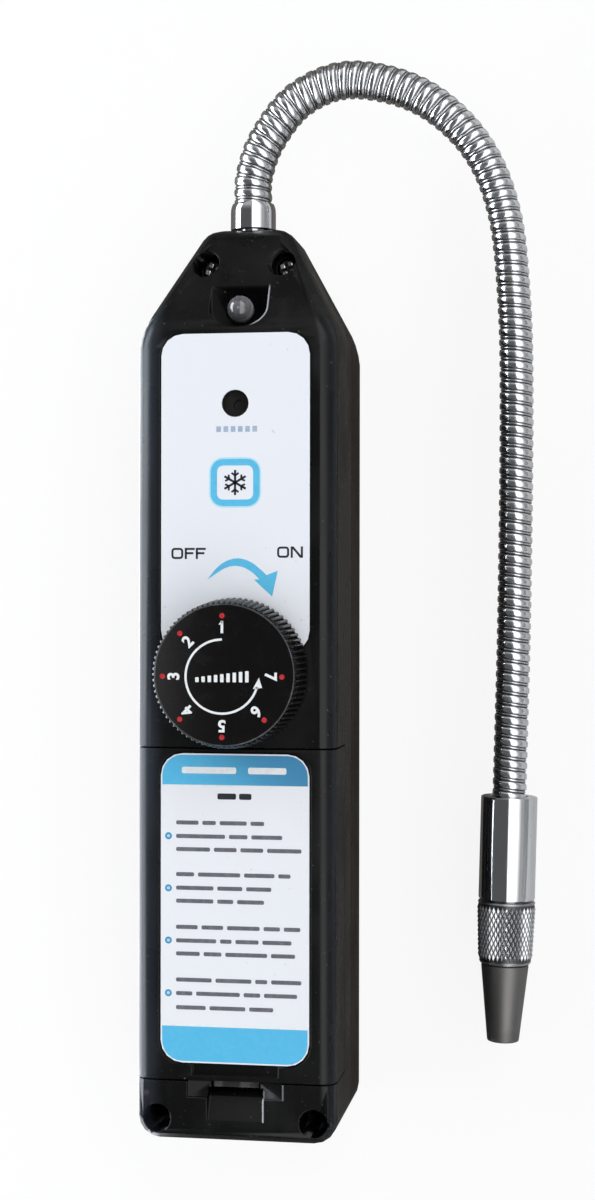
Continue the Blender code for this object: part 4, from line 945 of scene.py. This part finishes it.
levelMark = bmesh.new()
least, most = plan["levelHeights"]
for number in range(plan["levelBars"]):
    share = number / (plan["levelBars"] - 1)
    height = least + (most - least) * share
    bar(levelMark, plan["levelWidth"], height, onKnob(0, 0) @ Matrix.Translation(
        ((number - (plan["levelBars"] - 1) / 2) * plan["levelPitch"], height / 2 - most / 2, 0)),
        corner=0.00012)
finishPiece("knob_level_print", levelMark, whiteInk, "knob")
print("knob made")

# Lamp: smoky resin dome on a flange, with its two legs

low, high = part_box("indicator_led")
lampPlan = {
    "y": 0.0715,
    "radius": 0.0026,
    "height": 0.0044,
    "steps": 14,
    "sides": 48,
    "flangeRadius": 0.0031,
    "flangeHeight": 0.001,
    "fillet": 0.0001,
    "legRadius": 0.0003,
    "legSpread": 0.00127,
}
radius, flangeRadius = lampPlan["radius"], lampPlan["flangeRadius"]
domeMiddle = high[2] - radius
lampProfile = []
for step in range(lampPlan["steps"] + 1):
    angle = pi / 2 * step / lampPlan["steps"]
    lampProfile.append((radius * sin(angle), domeMiddle + radius * cos(angle)))
flangeTop = domeMiddle - lampPlan["height"]
flangeFoot = flangeTop - lampPlan["flangeHeight"]
lampProfile += [(radius, flangeTop + lampPlan["fillet"]), (radius + lampPlan["fillet"], flangeTop),
                (flangeRadius, flangeTop), (flangeRadius, flangeFoot), (0, flangeFoot)]
dome = spinProfile(lampProfile, lampPlan["sides"])
bottom, top = low[2], flangeTop - lampPlan["flangeHeight"] / 2
for side in (-lampPlan["legSpread"], lampPlan["legSpread"]):
    leg = bmesh.new()
    bmesh.ops.create_cone(leg, cap_ends=True, segments=10, radius1=lampPlan["legRadius"],
                          radius2=lampPlan["legRadius"], depth=top - bottom)
    pour(leg, dome, Matrix.Translation((side, 0, (top + bottom) / 2)))
bmesh.ops.translate(dome, vec=(0, lampPlan["y"], 0), verts=dome.verts)

lampFinish = Finish("smoky lamp resin", {
    "Base Color": (0.106, 0.104, 0.115), "IOR": 1.52,
    "Coat Weight": 1.0, "Coat Roughness": 0.03, "Specular IOR Level": 0.6,
    "Subsurface Weight": 0.35, "Subsurface Radius": (0.0012, 0.0012, 0.0013),
    "Subsurface Scale": 1.0})
lampReach = lampFinish.reach(*lampFinish.parts(lampFinish.place(centre=(0, lampPlan["y"], 0)))[:2])
lampCup = lampReach.between(0.0011, 0.0014) * (1 - lampReach.between(0.0015, 0.0019))
# Painted highlight: the dome's rounded edge is painted paler
lampFinish.paint(lampReach.between(0.00212, 0.00250), (0.29, 0.29, 0.30))
lampFinish.paint(lampCup * 0.35, (0.060, 0.060, 0.068))
lampFinish.paint((1 - lampReach.between(0.00012, 0.00030)) * 0.6, (0.36, 0.40, 0.55))
lampFinish.wear({"Roughness": 0.10 + lampFinish.noise(900, 3.0) * 0.08})
finishPiece("indicator_led_dome", dome, lampFinish, "case", ["indicator_led"])
print("lamp made")

# Chromed metal

def platedMetal(name, colour, shade, roughness, specks=0.35):
    # Bright plating with faint hairlines, smears and a few dark specks
    made = Finish(name, {"Base Color": colour, "Metallic": 1.0})
    smears = made.noise(150, 3.0).between(0.42, 0.68)
    hairlines = made.noise(2400, 2.0, stretch=(1, 12, 1)).between(0.5, 0.8)
    flecks = made.noise(1100, 2.0).between(0.70, 0.78)
    made.paint(smears * 0.5, shade)
    made.paint(flecks * specks, (0.20, 0.20, 0.21))
    made.wear({"Roughness": roughness + smears * 0.05 + hairlines * 0.04,
               "Normal": made.bump(hairlines + smears * 0.4, 0.000003, 0.35)})
    return made


chromeFinish = platedMetal("bright chrome", (0.80, 0.81, 0.83), (0.70, 0.715, 0.74), 0.05)

fittingPlan = {
    "place": (0, 0.0885, 0.019),
    "profile": [(0, 0.0003), (0.0043, 0.0003), (0.0045, 0.0005), (0.0045, 0.0040),
                (0.00444, 0.0047), (0.0043, 0.0053), (0.0041, 0.0057), (0.0039, 0.0058),
                (0.0036, 0.0058), (0.0035, 0.0057), (0.0035, 0.0034), (0, 0.0034)],
    "stemPlace": (0, 0.0859, 0.019),
    "stemRadius": 0.0028,
    "stemLength": 0.0058,
}
ferrule = spinProfile(fittingPlan["profile"], 64)
stand(ferrule, fittingPlan["place"], (0, 1, 0))
stem = bmesh.new()
bmesh.ops.create_cone(stem, cap_ends=True, segments=32, radius1=fittingPlan["stemRadius"],
                      radius2=fittingPlan["stemRadius"], depth=fittingPlan["stemLength"])
pour(stem, ferrule, Matrix.Translation(fittingPlan["stemPlace"])
     @ Matrix.Rotation(pi / 2, 4, "X"))
finishPiece("neck_ferrule_turned", ferrule, chromeFinish, "case",
            ["neck_ferrule"], sharp=30)

# Flexible neck: a helically wound ribbed strip, bent along the route of the CAD neck

neckPlan = {
    "start": (0, 0.0943, 0.019),
    "route": [(0.0, 0.0), (0.0002, 0.0057), (0.0030, 0.0131), (0.0096, 0.0208),
              (0.0199, 0.0241), (0.0335, 0.0203), (0.0441, 0.0107), (0.0498, -0.0024),
              (0.0519, -0.0202), (0.0524, -0.0416), (0.0520, -0.0811), (0.0511, -0.1173)],
    "ribs": 92,
    "wideRadius": 0.00378,
    "slimRadius": 0.00333,
    "wideUntil": 0.032,
    "slimFrom": 0.075,
    "sides": 32,
    "grooveDepth": 0.00040,
    "strip": [(0.00, 1.00), (0.06, 0.62), (0.13, 0.22), (0.24, 0.05), (0.40, 0.0), (0.56, 0.05),
              (0.66, 0.25), (0.715, 0.85), (0.755, 0.90), (0.81, 0.52), (0.87, 0.45),
              (0.93, 0.58), (0.97, 0.96)],
    "joints": [15, 31, 46, 61, 77],
    "splits": [0, 23, 38, 54, 69, 92],
    "reach": 0.0125,
    "step": 0.00132,
    "startsAt": 0.00005,
    "reachesPast": 0.0014,
    "bendLook": 0.0004,
    "tubeRadius": 0.01,
}
neckRun = smoothRun([Vector(neckPlan["start"]) + Vector((x, y, 0)) for x, y in neckPlan["route"]],
                    neckPlan["step"])
neckLength = runLength(neckRun)
neckPitch = neckLength / neckPlan["ribs"]


def routeAt(distance):
    # Place and direction on the neck's middle line, also a little before its start
    if distance < 0:
        ahead = (neckRun[1] - neckRun[0]).normalized()
        return neckRun[0] + ahead * distance, ahead
    look = neckPlan["bendLook"]
    ahead = alongRun(neckRun, distance + look) - alongRun(neckRun, max(0, distance - look))
    return alongRun(neckRun, distance), ahead.normalized()


def neckSize(distance):
    share = (distance - neckPlan["wideUntil"]) / (neckPlan["slimFrom"] - neckPlan["wideUntil"])
    share = min(1, max(0, share))
    return neckPlan["wideRadius"] + (neckPlan["slimRadius"] - neckPlan["wideRadius"]) * (
        share * share * (3 - 2 * share))


def woundStrip(firstRib, lastRib):
    # Spins one turn's cross-section round and along, then bends the straight tube to the route
    atFitting, atProbe = firstRib == 0, lastRib == neckPlan["ribs"]
    begin = firstRib - (2 if atFitting else 0)
    turns = lastRib - begin + (2 if atProbe else 0)
    bm = bmesh.new()
    groove = bm.verts.layers.float.new("grooveDepth")
    line = []
    for along, depth in neckPlan["strip"] + [(1.0, 1.0)]:
        vertex = bm.verts.new((0, neckPlan["grooveDepth"] * depth - neckPlan["tubeRadius"],
                               (begin + along) * neckPitch))
        vertex[groove] = depth
        line.append(vertex)
    for lower, upper in zip(line, line[1:]):
        bm.edges.new((lower, upper))
    sides = neckPlan["sides"]
    bmesh.ops.spin(bm, geom=bm.verts[:] + bm.edges[:], cent=(0, 0, 0), axis=(0, 0, 1),
                   dvec=(0, 0, neckPitch / sides), angle=2 * pi * turns, steps=sides * turns,
                   use_merge=False)
    bmesh.ops.remove_doubles(bm, verts=bm.verts, dist=0.000004)
    for cutHere, level, side in ((atFitting, neckPlan["startsAt"], -1),
                                 (atProbe, neckLength + neckPlan["reachesPast"], 1)):
        if cutHere:
            bmesh.ops.bisect_plane(bm, geom=bm.verts[:] + bm.edges[:] + bm.faces[:],
                                   plane_co=(0, 0, level), plane_no=(0, 0, side),
                                   clear_outer=True)
    bmesh.ops.holes_fill(bm, edges=[edge for edge in bm.edges if edge.is_boundary])
    for vertex in bm.verts:
        x, y, distance = vertex.co
        middle, ahead = routeAt(distance)
        swell = hypot(x, y) - neckPlan["tubeRadius"] + neckSize(distance)
        angle = atan2(y, x)
        sideways = ahead.cross(Vector((0, 0, 1)))
        vertex.co = middle + (sideways * cos(angle) + Vector((0, 0, sin(angle)))) * swell
    bmesh.ops.recalc_face_normals(bm, faces=bm.faces)
    return bm


neckFinish = Finish("wound chrome strip", {"Base Color": (0.83, 0.84, 0.86), "Metallic": 1.0})
grooveShade = neckFinish.attribute("grooveDepth").between(0.30, 0.95)
neckSmears = neckFinish.noise(420, 3.0).between(0.40, 0.70)
neckFlecks = neckFinish.noise(1900, 2.0).between(0.62, 0.74)
neckFinish.paint(neckSmears * 0.6, (0.64, 0.655, 0.68))
neckFinish.paint(neckFlecks * 0.5, (0.30, 0.305, 0.32))
# Painted shade darkens the grooves between the strip's ribs
neckFinish.paint(grooveShade * 0.92, (0.045, 0.046, 0.050))
neckFinish.wear({
    "Roughness": 0.16 + neckSmears * 0.12 + grooveShade * 0.25,
    "Normal": neckFinish.bump(neckFlecks + neckSmears * 0.5, 0.000020, 0.6)})

for number in range(5):
    span = woundStrip(neckPlan["splits"][number], neckPlan["splits"][number + 1])
    piece = makeObject(f"neck_span_{number + 1}", span, neckFinish, sharp=62)
    bendAt, reach = neckPlan["joints"][number] * neckPitch, neckPlan["reach"]
    routeAt(bendAt - reach)[0]
    routeAt(bendAt + reach)[0]
    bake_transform(piece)
    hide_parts(f"neck_section_{number + 1}", *(["neck_section_6"] if number == 4 else []))
print("neck wound,", round(neckLength * 1000, 2), "mm")

# Probe: chromed sleeve, knurled collar and turned tip on one axis

probePlan = {
    "place": (0.0511, -0.023, 0.019),
    "direction": (-0.025175, -0.999683, 0),
    "sleeve": [(0, 3.0), (3.6, 3.0), (3.6, 0.1), (3.7, 0), (5.2, 0), (5.42, 0.1), (5.5, 0.32),
               (5.5, 19.85), (5.43, 20.03), (5.3, 20.1), (4.0, 20.1), (4.0, 24.8), (3.9, 24.9),
               (3.2, 24.9), (3.2, 13.9), (0, 13.9)],
    "tip": [(1.2, 48.0), (2.75, 48.0), (3.0, 47.9), (3.12, 47.68), (3.15, 47.4), (4.62, 33.3),
            (4.6, 33.0), (4.5, 32.9), (4.0, 32.9), (4.0, 26.9), (2.9, 26.9), (2.9, 44.0),
            (1.2, 44.0), (1.2, 48.0)],
    "collarEnds": [(5.10, 20.4), (5.45, 20.5), (5.60, 20.8)],
    "collarFar": [(5.05, 32.3), (4.9, 32.6), (4.3, 32.6), (4.3, 20.4), (5.10, 20.4)],
    "knurlFrom": 21.1,
    "knurlTo": 31.9,
    "knurlRadius": (5.45, 5.02),
    "knurlHeight": 0.30,
    "columns": 38,
    "rows": 6,
}


def alongProbe(bm):
    bmesh.ops.scale(bm, vec=(0.001, 0.001, 0.001), verts=bm.verts)
    stand(bm, probePlan["place"], probePlan["direction"])
    return bm


sleeve = alongProbe(spinProfile(probePlan["sleeve"], 96))
finishPiece("probe_sleeve_turned", sleeve, chromeFinish, "probe",
            ["probe_sleeve"], sharp=30)
tip = alongProbe(spinProfile(probePlan["tip"], 96))
tipFinish = platedMetal("dull grey metal", (0.20, 0.195, 0.19), (0.15, 0.147, 0.142), 0.48, 0.4)
finishPiece("probe_tip_turned", tip, tipFinish, "tip_cap", ["probe_tip"], sharp=30)

# The collar's knurl: every second corner of a fine net stands out as a peak
plan = probePlan
wide, slim = plan["knurlRadius"]
knurlRows = []
for row in range(2 * plan["rows"] + 1):
    share = row / (2 * plan["rows"])
    knurlRows.append((wide + (slim - wide) * share,
                      plan["knurlFrom"] + (plan["knurlTo"] - plan["knurlFrom"]) * share))
collar = spinProfile(plan["collarEnds"] + knurlRows + plan["collarFar"], 2 * plan["columns"])
groove = collar.verts.layers.float.new("grooveDepth")
rowHeight = knurlRows[1][1] - knurlRows[0][1]
inBand, peaks = set(), set()
for vertex in collar.verts:
    x, y, height = vertex.co
    row = (height - plan["knurlFrom"]) / rowHeight
    if hypot(x, y) > 4.6 and -0.1 < row < 2 * plan["rows"] + 0.1:
        column = round(atan2(y, x) / pi * plan["columns"])
        inBand.add(vertex)
        if (column + round(row)) % 2 and 0.5 < row < 2 * plan["rows"] - 0.5:
            peaks.add(vertex)
        else:
            vertex[groove] = 1.0
    else:
        # The collar's plain ends get a lighter weight of the same painted shade
        vertex[groove] = 0.72
for face in list(collar.faces):
    ends = [vertex for vertex in face.verts if vertex not in peaks]
    if set(face.verts) <= inBand and len(ends) in (2, 3):
        opposite = [vertex for vertex in face.verts if vertex in peaks]
        loops = list(face.verts)
        at = loops.index(opposite[0])
        bmesh.utils.face_split(face, loops[(at + 1) % 4], loops[(at + 3) % 4])
for vertex in peaks:
    reach = hypot(vertex.co.x, vertex.co.y)
    vertex.co.x *= (reach + plan["knurlHeight"]) / reach
    vertex.co.y *= (reach + plan["knurlHeight"]) / reach
knurlFinish = Finish("knurled chrome", {"Base Color": (0.84, 0.85, 0.87), "Metallic": 1.0})
cutShade = knurlFinish.attribute("grooveDepth").between(0.35, 1.0)
knurlSmears = knurlFinish.noise(600, 3.0).between(0.4, 0.7)
knurlFinish.paint(knurlSmears * 0.6, (0.62, 0.63, 0.65))
# Painted shade darkens the cuts between the knurl's peaks, and the plain ends
knurlFinish.paint(cutShade * 0.92, (0.040, 0.041, 0.044))
knurlFinish.wear({"Roughness": 0.24 + knurlSmears * 0.10 + cutShade * 0.1})
finishPiece("knurled_collar_cut", alongProbe(collar), knurlFinish, "tip_cap",
            ["knurled_collar"], sharp=12)
print("probe made")

# Case screws: dark heads in their wells, each with four bright pads round a cross recess; the pads
# are painted highlights

screwPlan = {
    "places": [(-0.0075, 0.0808), (0.0075, 0.0808), (-0.0152, -0.0841), (0.0152, -0.0841)],
    "top": 0.0221,
    "padSize": 0.00108,
    "padReach": 0.00112,
    "padHeight": 0.00022,
    "turns": (20, 65, 10, 38),
}
screwDark = platedMetal("dark screw metal", (0.045, 0.046, 0.050), (0.026, 0.026, 0.028), 0.26, 0.5)
screwBright = platedMetal("bright zinc and painted screw highlights", (0.62, 0.63, 0.65), (0.38, 0.39, 0.41), 0.14, 0.5)
coat(screwDark, *[f"case_screw_{number}" for number in range(1, 5)])
highlightPads = bmesh.new()
for (x, y), turn in zip(screwPlan["places"], screwPlan["turns"]):
    for quarter in range(4):
        pad = bmesh.new()
        bmesh.ops.create_cube(pad, size=1)
        bmesh.ops.scale(pad, vec=(screwPlan["padSize"], screwPlan["padSize"],
                                  2 * screwPlan["padHeight"]), verts=pad.verts)
        bmesh.ops.bevel(pad, geom=pad.edges[:], offset=0.00015, segments=3, profile=0.5,
                        affect="EDGES", material=-1)
        pour(pad, highlightPads, Matrix.Translation((x, y, screwPlan["top"]))
             @ Matrix.Rotation(radians(turn + 90 * quarter), 4, "Z")
             @ Matrix.Translation((screwPlan["padReach"], 0, 0))
             @ Matrix.Rotation(radians(45), 4, "Z"))
finishPiece("case_screw_highlight_pads", highlightPads, screwBright, "case")

# Inside parts, seen through the lamp's and knob's openings and when the battery cover is open


def coatedPart(name, colour, shade, roughness, metallic=0.0):
    # Paint, resin or metal that drifts between two tones, with a little dust
    made = Finish(name, {"Base Color": colour, "Metallic": metallic})
    drift = made.noise(400, 3.0).between(0.35, 0.7)
    dust = made.noise(2400, 1.0).between(0.70, 0.80)
    made.paint(drift * 0.6, shade)
    made.paint(dust * 0.25, (0.30, 0.30, 0.30))
    made.wear({"Roughness": roughness + drift * 0.08,
               "Normal": made.bump(drift + dust * 0.3, 0.000005, 0.4, made.eased(0.00010))})
    return made


def banded(finish, axis, low, high, colour, inside=True):
    # Repaints a finish between two levels along one axis, or outside them
    level = finish.parts(finish.place())[axis]
    mask = level.between(low - 0.00002, low) * (1 - level.between(high, high + 0.00002))
    mask = mask if inside else 1 - mask
    finish.paint(mask, colour)
    return mask


board = coatedPart("green board lacquer", (0.009, 0.085, 0.030), (0.006, 0.060, 0.022), 0.30)
tracks = board.node("ShaderNodeTexBrick", {"offset": 0.37, "squash": 1.4, "squash_frequency": 3}, {
    "Vector": board.place(), "Scale": 210.0, "Mortar Size": 0.035, "Mortar Smooth": 0.2}, output=1)
board.paint(tracks * 0.8, (0.030, 0.150, 0.060))
coat(board, "circuit_board")
coat(screwBright, "board_screw_1", "board_screw_2")
transformer = coatedPart("ferrite core", (0.022, 0.021, 0.020), (0.038, 0.036, 0.034), 0.55)
banded(transformer, 2, 0.0262, 0.0310, (0.62, 0.40, 0.045))
coat(transformer, "transformer")
chip = coatedPart("chip resin", (0.010, 0.010, 0.011), (0.017, 0.017, 0.018), 0.50)
banded(chip, 0, 0.0055, 0.0125, (0.45, 0.45, 0.46), inside=False)
coat(chip, "control_chip")
capacitors = coatedPart("capacitor sleeve", (0.012, 0.020, 0.060), (0.020, 0.030, 0.085), 0.30)
banded(capacitors, 1, 0.0366, 0.0394, (0.55, 0.56, 0.58))
coat(capacitors, "capacitor_1", "capacitor_2")

cells = coatedPart("cell jacket", (0.020, 0.045, 0.075), (0.024, 0.051, 0.083), 0.26)
banded(cells, 1, -0.0450, -0.0300, (0.55, 0.56, 0.58))
bareEnds = banded(cells, 1, -0.0735, -0.0212, (0.70, 0.69, 0.67), inside=False)
cells.wear({"Metallic": bareEnds})
for number in (1, 2):
    smoothCopy(f"battery_cell_{number}", cells, "case")

# Each plain part's finish: its two tones, roughness, metal or not, and the pieces that have it
plainParts = {
    "potentiometer steel": ((0.50, 0.49, 0.47), (0.36, 0.35, 0.33), 0.28, 1, ["potentiometer"]),
    "turned aluminium": ((0.72, 0.72, 0.73), (0.55, 0.55, 0.56), 0.24, 1,
                         ["potentiometer_shaft"]),
    "sounder moulding": ((0.012, 0.011, 0.010), (0.022, 0.020, 0.018), 0.38, 0, ["buzzer"]),
    "nickel-plated strip": ((0.66, 0.64, 0.60), (0.48, 0.46, 0.43), 0.24, 1,
                            ["battery_spring_1", "battery_spring_2", "contact_plate_1",
                             "contact_plate_2", "contact_bridge", "neck_locknut"]),
    "red lead cover": ((0.42, 0.014, 0.012), (0.32, 0.012, 0.010), 0.42, 0, ["battery_lead_1"]),
    "black lead cover": ((0.010, 0.010, 0.011), (0.018, 0.018, 0.018), 0.42, 0,
                         ["battery_lead_2"]),
    "grey lead cover": ((0.13, 0.13, 0.14), (0.10, 0.10, 0.11), 0.45, 0, ["sensor_lead"]),
    "brass sensor can": ((0.66, 0.47, 0.20), (0.50, 0.34, 0.15), 0.30, 1, ["sensor_element"]),
}
for name, (colour, shade, roughness, metallic, nodeNames) in plainParts.items():
    coat(coatedPart(name, colour, shade, roughness, metallic), *nodeNames)
print("inside parts finished")
